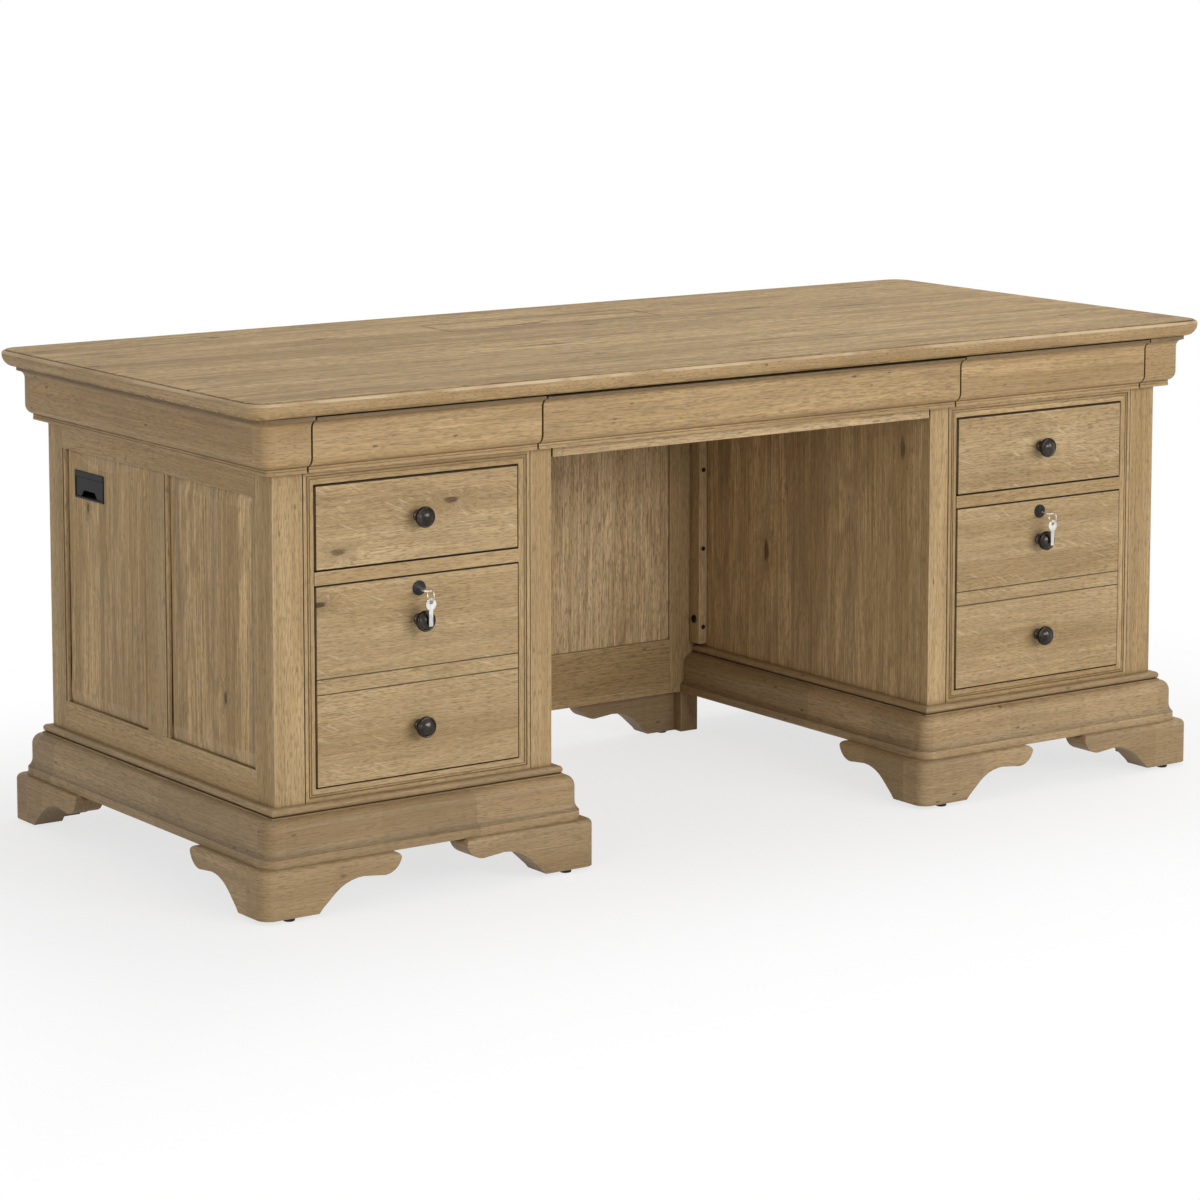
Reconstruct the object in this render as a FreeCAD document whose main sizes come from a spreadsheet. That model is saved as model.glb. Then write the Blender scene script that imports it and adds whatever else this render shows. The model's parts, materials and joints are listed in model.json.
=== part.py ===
import FreeCAD, Part
import os

import Sketcher
from FreeCAD import Placement, Rotation, Vector

# Executive desk with two pedestals, a moulded frieze of three drawers, bracket feet and a kneehole.
# Frame: +X to the right, +Y to the back, +Z up, origin on the floor under the middle of the top.

# Driving dimensions in millimetres.
SIZES = {
    # The top and its wire hatch.
    "top_width": 1844.0,
    "top_depth": 812.0,
    "desk_height": 762.0,
    "top_thickness": 27.0,
    "top_side_overhang": 64.0,
    "top_overhang": 58.0,
    "top_corner": 36.0,
    "top_nose": 20.0,
    "top_arris": 4.0,
    "hatch_width": 418.0,
    "hatch_depth": 100.0,
    "hatch_setback": 133.0,
    "hatch_gap": 1.5,
    "hatch_lid_thickness": 14.0,
    "hatch_rest_gap": 0.3,
    "hatch_pin_inset": 2.5,
    "hatch_pin_radius": 1.5,
    "hatch_pin_length": 6.0,
    "pin_clearance": 0.1,
    "tray_wall": 8.0,
    "tray_drop": 62.0,
    "tray_slot": 30.0,
    # Pedestal cases.
    "pedestal_width": 487.0,
    "outer_stile": 51.0,
    "inner_stile": 38.0,
    "post_depth": 50.0,
    "rear_post_depth": 46.0,
    "frame_board": 22.0,
    "inner_side_board": 20.0,
    "case_board": 18.0,
    "muntin": 53.0,
    "side_top_rail": 40.0,
    "side_bottom_rail": 46.0,
    "panel_recess": 4.0,
    "panel_board": 10.0,
    "panel_bead": 9.0,
    "panel_bead_drop": 1.0,
    # Drawer opening and its mitred moulding.
    "jamb": 20.0,
    "sill": 18.0,
    "head": 22.0,
    "jamb_depth": 14.0,
    "middle_rail": 20.0,
    "box_opening": 129.0,
    "reveal": 2.0,
    "front_recess": 1.0,
    "front_board": 22.0,
    # Frieze moulding.
    "frieze_height": 85.0,
    "frieze_reach": 44.0,
    "frieze_fillet": 6.0,
    "frieze_cove": 13.0,
    "frieze_ovolo": 15.0,
    "frieze_bead": 4.0,
    "frieze_bead_radius": 2.8,
    "frieze_quirk": 1.0,
    "frieze_band": 5.0,
    "frieze_band_reach": 19.0,
    "frieze_corner": 13.0,
    "frieze_gap": 3.0,
    "frieze_side_top_gap": 1.5,
    "frieze_centre_top_gap": 3.0,
    "frieze_back_gap": 0.5,
    # Plinth, its bead and the bracket feet.
    "glide_height": 6.0,
    "glide_radius": 9.0,
    "glide_margin": 4.0,
    "foot_height": 72.0,
    "foot_reach": 49.5,
    "foot_corner": 29.0,
    "foot_edge": 8.0,
    "foot_wing": 186.0,
    "foot_side_wing": 167.0,
    "foot_crown": 8.0,
    "foot_crown_radius": 9.0,
    "foot_tip": 36.0,
    "foot_tip_drop": 22.0,
    "foot_tip_radius": 30.0,
    "foot_lobe": 30.0,
    "foot_lobe_rise": 3.0,
    "foot_arch": 48.0,
    "foot_arch_drop": 18.0,
    "foot_arch_radius": 73.0,
    "foot_ramp": 22.0,
    "foot_spur": 6.0,
    "foot_spur_height": 7.0,
    "foot_block": 38.0,
    "foot_block_gap": 12.0,
    "plinth_height": 69.0,
    "plinth_reach": 37.0,
    "plinth_fillet": 13.0,
    "plinth_flare": 15.0,
    "plinth_flat_reach": 30.0,
    "plinth_shoulder": 17.0,
    "plinth_quirk": 2.0,
    "plinth_corner": 12.0,
    "bead_height": 12.0,
    "bead_reach": 12.0,
    "bead_round": 5.5,
    # Modesty panel at the back of the kneehole.
    "modesty_setback": 66.0,
    "modesty_board": 20.0,
    "modesty_stile": 61.0,
    "modesty_leg": 36.0,
    "modesty_bottom_rail": 96.0,
    "modesty_top_rail": 60.0,
    "modesty_foot_reach": 40.0,
    "cleat_width": 18.0,
    "cleat_depth": 28.0,
    "cleat_foot": 6.0,
    "screw_radius": 4.0,
    "screw_head": 1.5,
    "screw_low": 36.0,
    "screw_pitch": 139.0,
    "bolt_radius": 7.0,
    "bolt_head": 3.0,
    "bolt_low": 49.0,
    "bolt_pitch": 320.0,
    # Drawers and their runners.
    "tray_board": 12.0,
    "tray_bottom": 6.0,
    "slide_gap": 13.0,
    "slide_member": 6.0,
    "slide_height": 45.0,
    "slide_end_gap": 60.0,
    "spacer_height": 70.0,
    "drawer_rear_gap": 91.0,
    "drawer_floor_gap": 8.0,
    "box_tray_clearance": 21.0,
    "file_tray_clearance": 52.0,
    "frieze_tray_rear_gap": 41.0,
    "frieze_tray_clearance": 14.0,
    "frieze_tray_side_gap": 4.0,
    "running_gap": 1.0,
    "centre_tray_drop": 17.0,
    "centre_tray_side": 18.0,
    "centre_tray_gap": 3.0,
    "centre_tray_web": 6.0,
    "runner_height": 8.0,
    "runner_reach": 14.0,
    # Faux rail on the file drawer fronts.
    "faux_rail": 21.0,
    "groove_width": 2.0,
    "groove_depth": 3.0,
    # Knobs, locks and keys.
    "knob_radius": 16.0,
    "knob_length": 28.0,
    "knob_dome": 7.0,
    "knob_rim": 3.0,
    "knob_flange": 9.0,
    "knob_flange_depth": 2.5,
    "knob_neck": 5.5,
    "knob_rise": 3.0,
    "knob_below_lock": 47.0,
    "lock_drop": 19.0,
    "lock_barrel_radius": 9.0,
    "lock_rim_radius": 11.0,
    "lock_rim": 2.0,
    "lock_plug_radius": 6.0,
    "lock_clearance": 0.2,
    "cam_length": 24.0,
    "cam_width": 12.0,
    "cam_thickness": 2.5,
    "key_thickness": 2.0,
    "key_blade": 7.0,
    "key_reach": 26.0,
    "key_bow_radius": 9.0,
    "key_hole_radius": 3.0,
    "key_hole_margin": 3.0,
    "ring_radius": 9.0,
    "ring_wire": 0.7,
    "ring_play": 0.3,
    "ring_offset": 6.7,
    "ring_drop": 6.0,
    "spare_key_length": 24.0,
    # Cable outlet in the left side.
    "grommet_width": 93.0,
    "grommet_height": 43.0,
    "grommet_rear_gap": 37.0,
    "grommet_top_gap": 30.0,
    "grommet_bar": 9.0,
    "grommet_rim": 3.0,
    "flap_thickness": 2.0,
    "flap_gap": 0.6,
    "flap_notch_width": 52.0,
    "flap_notch_top": 36.0,
    "flap_notch_height": 10.0,
}

QUARTER_TURN = 90.0
HALF_TURN = 180.0
FULL_TURN = 360.0
TOUCH = 0.01

doc = FreeCAD.newDocument("executive_desk")
sheet = doc.addObject("Spreadsheet::Sheet", "Sizes")
nodes = []


class Size:
    """A length that keeps both its number and the sheet formula behind it."""

    def __init__(self, value, formula):
        self.value = value
        self.formula = formula

    def __add__(self, other):
        other = as_size(other)
        return Size(self.value + other.value, f"({self.formula} + {other.formula})")

    def __radd__(self, other):
        return as_size(other) + self

    def __sub__(self, other):
        other = as_size(other)
        return Size(self.value - other.value, f"({self.formula} - {other.formula})")

    def __rsub__(self, other):
        return as_size(other) - self

    def __mul__(self, other):
        other = as_size(other)
        return Size(self.value * other.value, f"({self.formula} * {other.formula})")

    def __truediv__(self, other):
        other = as_size(other)
        return Size(self.value / other.value, f"({self.formula} / {other.formula})")

    def __neg__(self):
        return Size(-self.value, f"(0 - {self.formula})")


def as_size(value):
    if isinstance(value, Size):
        return value
    return Size(float(value), str(float(value)))


class Sheet:
    """The driving dimensions, each a named cell."""


s = Sheet()
for row, (name, value) in enumerate(SIZES.items(), start=1):
    sheet.set(f"A{row}", name)
    sheet.set(f"B{row}", str(value))
    sheet.setAlias(f"B{row}", name)
    setattr(s, name, Size(value, f"Sizes.{name}"))
doc.recompute()


# Helpers for solids, profiles and nodes.


def bind(item, path, size):
    item.setExpression(path, as_size(size).formula)


def place(item, x, y, z, turn=0.0, axis=Vector(0, 0, 1)):
    """Puts an object at a point, turned about an axis."""
    item.Placement = Placement(Vector(0, 0, 0), Rotation(axis, turn))
    bind(item, "Placement.Base.x", x)
    bind(item, "Placement.Base.y", y)
    bind(item, "Placement.Base.z", z)
    return item


def box(name, x, y, z):
    """A board between the low and high bounds given for each axis."""
    item = doc.addObject("Part::Box", name)
    for side, (low, high) in zip(("Length", "Width", "Height"), (x, y, z)):
        bind(item, side, as_size(high) - low)
    return place(item, x[0], y[0], z[0])


def rod(name, radius, length, x, y, z, axis):
    """A cylinder from a point along Z, -Y or X."""
    item = doc.addObject("Part::Cylinder", name)
    bind(item, "Radius", radius)
    bind(item, "Height", length)
    turns = {
        "z": (0.0, Vector(0, 0, 1)),
        "-y": (QUARTER_TURN, Vector(1, 0, 0)),
        "x": (QUARTER_TURN, Vector(0, 1, 0)),
    }
    return place(item, x, y, z, *turns[axis])


def mirror(name, source, normal, x=0, y=0):
    """The source reflected in an upright plane."""
    item = doc.addObject("Part::Mirroring", name)
    item.Source = source
    item.Normal = normal
    bind(item, "Base.x", x)
    bind(item, "Base.y", y)
    return item


ACROSS = Vector(1, 0, 0)
LENGTHWISE = Vector(0, 1, 0)


def fuse(name, items):
    item = doc.addObject("Part::MultiFuse", name)
    item.Shapes = items
    item.Refine = True
    return item


def cut(name, base, tools):
    item = doc.addObject("Part::Cut", name)
    item.Base = base
    item.Tool = tools[0] if len(tools) == 1 else fuse(f"{name}_tools", tools)
    return item


def node(label, items):
    """Registers a sub-part: one solid, or a group of separate solids."""
    if len(items) == 1:
        item = items[0]
    else:
        item = doc.addObject("Part::Compound", f"{label}_group")
        item.Links = items
    item.Label = label
    nodes.append(item)
    return item


def origin_feature(body, role):
    return next(item for item in body.Origin.OriginFeatures if item.Role == role)


def arc_through(start, end, radius, side):
    """Arc geometry whose centre lies on the given side of travel, with its two end positions."""
    chord = end - start
    reach = (max(radius ** 2 - (chord.Length / 2) ** 2, 0.0)) ** 0.5
    left = Vector(-chord.y, chord.x, 0).normalize()
    sense = 1.0 if side == "left" else -1.0
    centre = (start + end) * 0.5 + left * (reach * sense)
    bulge = centre - left * (radius * sense)
    arc = Part.Arc(start, bulge, end)
    if side == "left":
        return arc, 1, 2
    return arc, 2, 1


def sketch(body, name, plane, points):
    """Closed outline. A point is (u, v), or (u, v, radius, side) where an arc leads to the next point."""
    item = body.newObject("Sketcher::SketchObject", name)
    item.AttachmentSupport = [(origin_feature(body, plane), "")]
    item.MapMode = "FlatFace"
    corners = [Vector(as_size(p[0]).value, as_size(p[1]).value, 0) for p in points]
    ends = []
    for index, point in enumerate(points):
        start = corners[index]
        end = corners[(index + 1) % len(points)]
        if len(point) == 2:
            edge = item.addGeometry(Part.LineSegment(start, end), False)
            ends.append((edge, 1, 2))
        else:
            arc, first, last = arc_through(start, end, as_size(point[2]).value, point[3])
            edge = item.addGeometry(arc, False)
            ends.append((edge, first, last))
    for index, (edge, first, last) in enumerate(ends):
        following = ends[(index + 1) % len(ends)]
        item.addConstraint(Sketcher.Constraint("Coincident", edge, last, following[0], following[1]))
    for point, (edge, first, last) in zip(points, ends):
        for kind, size in (("DistanceX", point[0]), ("DistanceY", point[1])):
            size = as_size(size)
            number = item.addConstraint(Sketcher.Constraint(kind, -1, 1, edge, first, size.value))
            bind(item, f"Constraints[{number}]", size)
        if len(point) == 4:
            radius = as_size(point[2])
            number = item.addConstraint(Sketcher.Constraint("Radius", edge, radius.value))
            bind(item, f"Constraints[{number}]", radius)
    return item


def pad(body, profile, length, backwards=False):
    item = body.newObject("PartDesign::Pad", f"{body.Name}_pad")
    item.Profile = profile
    bind(item, "Length", length)
    item.Reversed = backwards
    body.Tip = item
    return item


def revolve(body, profile, axis, angle, backwards=False):
    item = body.newObject("PartDesign::Revolution", f"{body.Name}_turn")
    item.Profile = profile
    item.ReferenceAxis = (origin_feature(body, axis), [""])
    item.Angle = angle
    item.Reversed = backwards
    body.Tip = item
    return item


def fillet(body, wanted, radius):
    """Rounds the edges of the body's last feature that the test picks."""
    doc.recompute()
    base = body.Tip
    names = [f"Edge{i}" for i, edge in enumerate(base.Shape.Edges, start=1) if wanted(edge)]
    item = body.newObject("PartDesign::Fillet", f"{body.Name}_round")
    item.Base = (base, names)
    bind(item, "Radius", radius)
    body.Tip = item
    return item


def new_body(name):
    return doc.addObject("PartDesign::Body", name)


def moulding(name, profile, length, corner=None, corner_return=None):
    """A moulded run along local X that faces local -Y.

    A corner section is turned about the start of the run, and goes on along local Y for its return.
    """
    body = new_body(name)
    pad(body, sketch(body, f"{name}_profile", "YZ_Plane", profile), length)
    if corner:
        turned = sketch(body, f"{name}_corner", "YZ_Plane", corner)
        revolve(body, turned, "Z_Axis", QUARTER_TURN, backwards=True)
    if corner_return:
        carried = sketch(body, f"{name}_return", "XZ_Plane", corner)
        pad(body, carried, corner_return, backwards=True)
    return body


def span(sign, near, far):
    """Bounds across the desk for a board on the left (-1) or right (+1) side."""
    if sign > 0:
        return near, far
    return -as_size(far), -as_size(near)


# Places worked out from the driving dimensions.

case_x = s.top_width / 2 - s.top_side_overhang
case_front = s.top_overhang - s.top_depth / 2
case_back = -case_front
inner_x = case_x - s.pedestal_width
pedestal_x = case_x - s.pedestal_width / 2

foot_top = s.glide_height + s.foot_height
plinth_top = foot_top + s.plinth_height
case_base = plinth_top + s.bead_height
top_base = s.desk_height - s.top_thickness
frieze_base = top_base - s.frieze_height

opening_outer = case_x - s.outer_stile - s.jamb
opening_inner = inner_x + s.inner_stile + s.jamb
opening_low = case_base + s.sill
opening_high = frieze_base - s.head
rail_high = opening_high - s.box_opening
rail_low = rail_high - s.middle_rail
opening_x = (opening_outer + opening_inner) / 2

front_face = case_front + s.front_recess
front_back = front_face + s.front_board
drawer_back = case_back - s.frame_board - s.drawer_rear_gap
slide_back = drawer_back - s.slide_end_gap
rail_front = case_front + s.jamb_depth
rail_back = rail_front + s.case_board

modesty_front = case_back - s.modesty_setback
modesty_back = modesty_front + s.modesty_board

hatch_back = s.top_depth / 2 - s.hatch_setback
hatch_front = hatch_back - s.hatch_depth
hatch_x = s.hatch_width / 2
frieze_tray_back = hatch_front - s.frieze_tray_rear_gap
frieze_tray_low = frieze_base + s.running_gap
frieze_tray_top = top_base - s.frieze_tray_clearance

SIDES = (("left", -1), ("right", 1))


def frieze_profile(inner, top_gap, start=0):
    """Cornice section: fillet, cove, flat, ovolo, bead and band.

    It runs from the inner plane outwards, and its zero lies the start distance outside the case.
    """
    back = as_size(start) - inner
    fillet = as_size(start) - s.frieze_reach
    flat = fillet + s.frieze_cove
    ovolo_end = flat + s.frieze_ovolo
    band = as_size(start) - s.frieze_band_reach
    bead_low = frieze_base + s.frieze_band
    bead_high = bead_low + s.frieze_bead
    bead_root = band + s.frieze_quirk
    fillet_low = top_base - s.frieze_fillet
    return [
        (back, top_base - top_gap),
        (fillet, top_base - top_gap),
        (fillet, fillet_low, s.frieze_cove, "right"),
        (flat, fillet_low - s.frieze_cove),
        (flat, bead_high + s.frieze_ovolo, s.frieze_ovolo, "left"),
        (ovolo_end, bead_high),
        (bead_root, bead_high, s.frieze_bead_radius, "left"),
        (bead_root, bead_low),
        (band, bead_low - s.frieze_quirk),
        (band, frieze_base),
        (back, frieze_base),
    ]


def plinth_profile(inner=0, start=0):
    """Base section: fillet, flare, flat and shoulder, from the floor side up.

    It runs from the inner plane outwards, and its zero lies the start distance outside the case.
    """
    back = as_size(start) - inner
    outer = as_size(start) - s.plinth_reach
    flat = as_size(start) - s.plinth_flat_reach
    quirk = flat + s.plinth_shoulder
    shoulder_high = plinth_top - s.plinth_quirk
    fillet_high = foot_top + s.plinth_fillet
    step = s.plinth_reach - s.plinth_flat_reach
    flare_radius = (step * step + s.plinth_flare * s.plinth_flare) / (step * 2)
    return [
        (back, foot_top),
        (outer, foot_top),
        (outer, fillet_high, flare_radius, "left"),
        (flat, fillet_high + s.plinth_flare),
        (flat, shoulder_high - s.plinth_shoulder, s.plinth_shoulder, "right"),
        (quirk, shoulder_high),
        (quirk, plinth_top),
        (back, plinth_top),
    ]


def bracket_outline(start, wing):
    """Bracket foot seen from outside: flat sole, ramp, arch, lobe and rounded wing tip."""
    top = s.glide_height + s.foot_height
    tip_z = top - s.foot_crown
    lobe_z = tip_z - s.foot_tip_drop
    arch_z = lobe_z + s.foot_lobe_rise
    ramp_z = arch_z - s.foot_arch_drop
    lobe = wing - s.foot_tip
    arch = lobe - s.foot_lobe
    ramp = arch - s.foot_arch
    spur = ramp - s.foot_ramp
    return [
        (start, s.glide_height),
        (spur - s.foot_spur, s.glide_height),
        (spur, s.glide_height + s.foot_spur_height),
        (ramp, ramp_z, s.foot_arch_radius, "right"),
        (arch, arch_z),
        (lobe, lobe_z, s.foot_tip_radius, "left"),
        (wing, tip_z, s.foot_crown_radius, "left"),
        (wing - s.foot_crown, top),
        (start, top),
    ]


def make_top():
    """The top with its rounded corners and moulded edge, cut for the wire hatch."""
    half_x = s.top_width / 2
    half_y = s.top_depth / 2
    corner = s.top_corner
    body = new_body("top_slab")
    outline = sketch(body, "top_outline", "XY_Plane", [
        (corner - half_x, -half_y),
        (half_x - corner, -half_y, corner, "left"),
        (half_x, corner - half_y),
        (half_x, half_y - corner, corner, "left"),
        (half_x - corner, half_y),
        (corner - half_x, half_y, corner, "left"),
        (-half_x, half_y - corner),
        (-half_x, corner - half_y, corner, "left"),
    ])
    pad(body, outline, s.top_thickness)
    place(body, 0, 0, top_base)

    def on_underside(edge):
        return edge.BoundBox.ZMax < s.top_thickness.value / 2

    def on_upper_side(edge):
        return edge.BoundBox.ZMin > s.top_thickness.value / 2

    fillet(body, on_underside, s.top_nose)
    fillet(body, on_upper_side, s.top_arris)

    pin_y = hatch_back - s.hatch_gap - s.hatch_pin_inset
    pin_z = s.desk_height - s.hatch_pin_inset
    hole = box("hatch_hole", (-hatch_x, hatch_x), (hatch_front, hatch_back), (top_base, s.desk_height))
    bore = rod(
        "hatch_pin_bore", s.hatch_pin_radius + s.pin_clearance, s.hatch_width + s.hatch_pin_length * 2,
        -hatch_x - s.hatch_pin_length, pin_y, pin_z, "x",
    )
    node("desk_top", [cut("top_with_hatch", body, [hole, bore])])

    lid_x = hatch_x - s.hatch_gap
    lid_back = hatch_back - s.hatch_gap
    lid_front = hatch_front + s.hatch_gap
    lid_low = s.desk_height - s.hatch_lid_thickness
    lid = box("lid_board", (-lid_x, lid_x), (lid_front, lid_back), (lid_low, s.desk_height))
    pin = rod(
        "lid_pin", s.hatch_pin_radius, lid_x * 2 + s.hatch_pin_length * 2,
        -lid_x - s.hatch_pin_length, pin_y, pin_z, "x",
    )
    node("hatch_lid", [fuse("lid_with_pins", [lid, pin])])

    low = top_base - s.tray_drop
    rest = lid_low - s.hatch_rest_gap
    inner_x_bound = hatch_x - s.tray_wall
    inner_front = hatch_front + s.tray_wall
    inner_back = hatch_back - s.tray_wall
    slot_front = (hatch_front + hatch_back) / 2 - s.tray_slot / 2
    slot_back = slot_front + s.tray_slot
    floor = (low, low + s.tray_wall)
    wall = (low + s.tray_wall, rest)
    node("wire_tray", [
        box("tray_floor_front", (-hatch_x, hatch_x), (hatch_front, slot_front), floor),
        box("tray_floor_back", (-hatch_x, hatch_x), (slot_back, hatch_back), floor),
        box("tray_wall_front", (-hatch_x, hatch_x), (hatch_front, inner_front), wall),
        box("tray_wall_back", (-hatch_x, hatch_x), (inner_back, hatch_back), wall),
        box("tray_wall_left", (-hatch_x, -inner_x_bound), (inner_front, inner_back), wall),
        box("tray_wall_right", (inner_x_bound, hatch_x), (inner_front, inner_back), wall),
    ])


def make_frieze():
    """Fixed frieze: front corner blocks, sides, and a back with rounded ends."""
    out = s.frieze_corner
    cornered = frieze_profile(0, 0, out)
    turned = frieze_profile(out, 0, out)
    stub = s.outer_stile - s.frieze_gap
    corner = moulding("corner_left", cornered, stub + out, turned, out)
    corner = place(corner, -case_x - out, case_front - out, 0)
    node("frieze_front_corners", [corner, mirror("corner_right", corner, ACROSS)])

    run = moulding("frieze_left", frieze_profile(0, 0), case_back - case_front)
    side = place(run, -case_x, case_back, 0, -QUARTER_TURN)
    node("frieze_sides", [side, mirror("frieze_right", side, ACROSS)])

    half = moulding("frieze_back_half", cornered, case_x + out, turned, out)
    half = place(half, case_x + out, case_back + out, 0, HALF_TURN)
    node("frieze_back", [fuse("frieze_back_whole", [half, mirror("frieze_back_other", half, ACROSS)])])


def make_case(side, sign):
    """One pedestal's posts, face rails and outer side frame."""
    post_x = span(sign, case_x - s.outer_stile, case_x)
    stile_x = span(sign, inner_x, inner_x + s.inner_stile)
    upright = (case_base, top_base)
    post_back = case_front + s.post_depth
    node(f"{side}_front_posts", [
        box(f"{side}_corner_post", post_x, (case_front, post_back), upright),
        box(f"{side}_inner_stile", stile_x, (case_front, case_front + s.frame_board), upright),
    ])

    between = span(sign, inner_x + s.inner_stile, case_x - s.outer_stile)
    clear = span(sign, opening_inner, opening_outer)
    behind = (rail_front, rail_back)
    node(f"{side}_face_rails", [
        box(f"{side}_top_rail", between, behind, (opening_high, frieze_base)),
        box(f"{side}_middle_rail", clear, (front_face, front_back), (rail_low, rail_high)),
        box(f"{side}_bottom_rail", between, behind, (case_base, opening_low)),
    ])

    wall = span(sign, case_x - s.frame_board, case_x)
    rear_post = case_back - s.rear_post_depth
    long = (post_back, rear_post)
    panel_low = case_base + s.side_bottom_rail
    panel_high = frieze_base - s.side_top_rail
    node(f"{side}_side_frame", [
        box(f"{side}_rear_post", post_x, (rear_post, case_back), upright),
        box(f"{side}_side_top_rail", wall, long, (panel_high, top_base)),
        box(f"{side}_side_bottom_rail", wall, long, (case_base, panel_low)),
        box(f"{side}_muntin", wall, (-s.muntin / 2, s.muntin / 2), (panel_low, panel_high)),
    ])


def side_panel_bays():
    """The two panel bays of a pedestal side, front bay first."""
    front_bay = (case_front + s.post_depth, -s.muntin / 2)
    rear_bay = (s.muntin / 2, case_back - s.rear_post_depth)
    return front_bay, rear_bay


def grommet_bounds():
    """The cable outlet's bounds along the side and in height."""
    high_y = case_back - s.rear_post_depth - s.grommet_rear_gap
    high_z = frieze_base - s.side_top_rail - s.grommet_top_gap
    return (high_y - s.grommet_width, high_y), (high_z - s.grommet_height, high_z)


def make_side_panels():
    """Panels of both sides with a bead down each upright edge; the left rear one has the cable outlet."""
    low = case_base + s.side_bottom_rail
    high = frieze_base - s.side_top_rail
    outlet_y, outlet_z = grommet_bounds()
    panels = []
    beads = []
    for side, sign in SIDES:
        face = case_x - s.panel_recess
        board = span(sign, face - s.panel_board, face)
        strip = span(sign, face - s.panel_board, case_x - s.panel_bead_drop)
        for bay, (front, back) in zip(("front", "rear"), side_panel_bays()):
            field = (front + s.panel_bead, back - s.panel_bead)
            panel = box(f"{side}_{bay}_panel", board, field, (low, high))
            if side == "left" and bay == "rear":
                hole = box("outlet_hole", board, outlet_y, outlet_z)
                panel = cut("left_rear_panel_cut", panel, [hole])
            panels.append(panel)
            beads.append(box(f"{side}_{bay}_bead_front", strip, (front, field[0]), (low, high)))
            beads.append(box(f"{side}_{bay}_bead_rear", strip, (field[1], back), (low, high)))
    node("side_panels", panels)
    node("side_beads", beads)


def strip_facing_front(name, corners, depth):
    """A flat strip drawn by its corners in X and Z, from the case front inwards."""
    body = new_body(name)
    pad(body, sketch(body, f"{name}_outline", "XZ_Plane", corners), depth, backwards=True)
    return place(body, 0, case_front, 0)


def make_opening_mouldings():
    """Mitred frame strips round each pedestal's drawer opening."""
    left = s.outer_stile - case_x
    right = -inner_x - s.inner_stile
    low_left = (left, case_base)
    low_right = (right, case_base)
    high_left = (left, frieze_base)
    high_right = (right, frieze_base)
    clear_low_left = (-opening_outer, opening_low)
    clear_low_right = (-opening_inner, opening_low)
    clear_high_left = (-opening_outer, opening_high)
    clear_high_right = (-opening_inner, opening_high)
    outlines = {
        "outer_jamb": [low_left, clear_low_left, clear_high_left, high_left],
        "inner_jamb": [clear_low_right, low_right, high_right, clear_high_right],
        "head": [clear_high_left, clear_high_right, high_right, high_left],
        "sill": [low_left, low_right, clear_low_right, clear_low_left],
    }
    strips = []
    for name, corners in outlines.items():
        strip = strip_facing_front(f"left_{name}", corners, s.jamb_depth)
        strips.append(strip)
        strips.append(mirror(f"right_{name}", strip, ACROSS))
    node("opening_mouldings", strips)


def tray_heights():
    """Bounds in height of the boxes behind the pedestal drawer fronts."""
    box_floor = rail_high + s.reveal + s.drawer_floor_gap
    box_top = opening_high - s.box_tray_clearance
    file_floor = opening_low + s.reveal + s.drawer_floor_gap
    file_top = rail_low - s.file_tray_clearance
    return {"box": (box_floor, box_top), "file": (file_floor, file_top)}


def make_case_interior():
    """Inner sides, case boards, slide spacers and the fixed members of the slides."""
    sides = []
    boards = []
    slides = []
    long = (rail_back, case_back - s.frame_board)
    slide_y = (front_back, slide_back)
    for side, sign in SIDES:
        wall = span(sign, inner_x, inner_x + s.inner_side_board)
        sides.append(box(
            f"{side}_inner_side", wall,
            (case_front + s.frame_board, case_back - s.frame_board), (case_base, top_base),
        ))
        across = span(sign, inner_x + s.inner_side_board, case_x - s.outer_stile)
        boards.append(box(f"{side}_floor_board", across, long, (case_base, opening_low)))
        dust_low = frieze_base - s.case_board
        boards.append(box(f"{side}_dust_board", across, long, (dust_low, frieze_base)))
        outer = span(sign, opening_outer, case_x - s.outer_stile)
        inner = span(sign, inner_x + s.inner_side_board, opening_inner)
        outer_slide = span(sign, opening_outer - s.slide_member, opening_outer)
        inner_slide = span(sign, opening_inner, opening_inner + s.slide_member)
        for drawer, (floor, tray_top) in tray_heights().items():
            middle = (floor + tray_top) / 2
            tall = (middle - s.spacer_height / 2, middle + s.spacer_height / 2)
            narrow = (middle - s.slide_height / 2, middle + s.slide_height / 2)
            boards.append(box(f"{side}_{drawer}_outer_spacer", outer, long, tall))
            boards.append(box(f"{side}_{drawer}_inner_spacer", inner, long, tall))
            slides.append(box(f"{side}_{drawer}_outer_slide", outer_slide, slide_y, narrow))
            slides.append(box(f"{side}_{drawer}_inner_slide", inner_slide, slide_y, narrow))
        runner_z = frieze_base + s.running_gap
        slides.append(box(
            f"{side}_centre_runner", span(sign, inner_x - s.runner_reach, inner_x),
            slide_y, (runner_z, runner_z + s.runner_height),
        ))
    node("inner_sides", sides)
    node("case_boards", boards)
    node("cabinet_slides", slides)


def make_pedestal_backs():
    """Framed backs of the pedestals and their panels."""
    frames = []
    panels = []
    board = (case_back - s.frame_board, case_back)
    field = (case_back - s.panel_recess - s.panel_board, case_back - s.panel_recess)
    low = case_base + s.side_bottom_rail
    high = frieze_base - s.side_top_rail
    for side, sign in SIDES:
        stile = span(sign, inner_x, inner_x + s.inner_stile)
        across = span(sign, inner_x + s.inner_stile, case_x - s.outer_stile)
        frames.append(box(f"{side}_back_stile", stile, board, (case_base, top_base)))
        frames.append(box(f"{side}_back_top_rail", across, board, (high, top_base)))
        frames.append(box(f"{side}_back_bottom_rail", across, board, (case_base, low)))
        panels.append(box(f"{side}_back_panel", across, field, (low, high)))
    node("pedestal_backs", frames)
    node("back_panels", panels)


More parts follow.
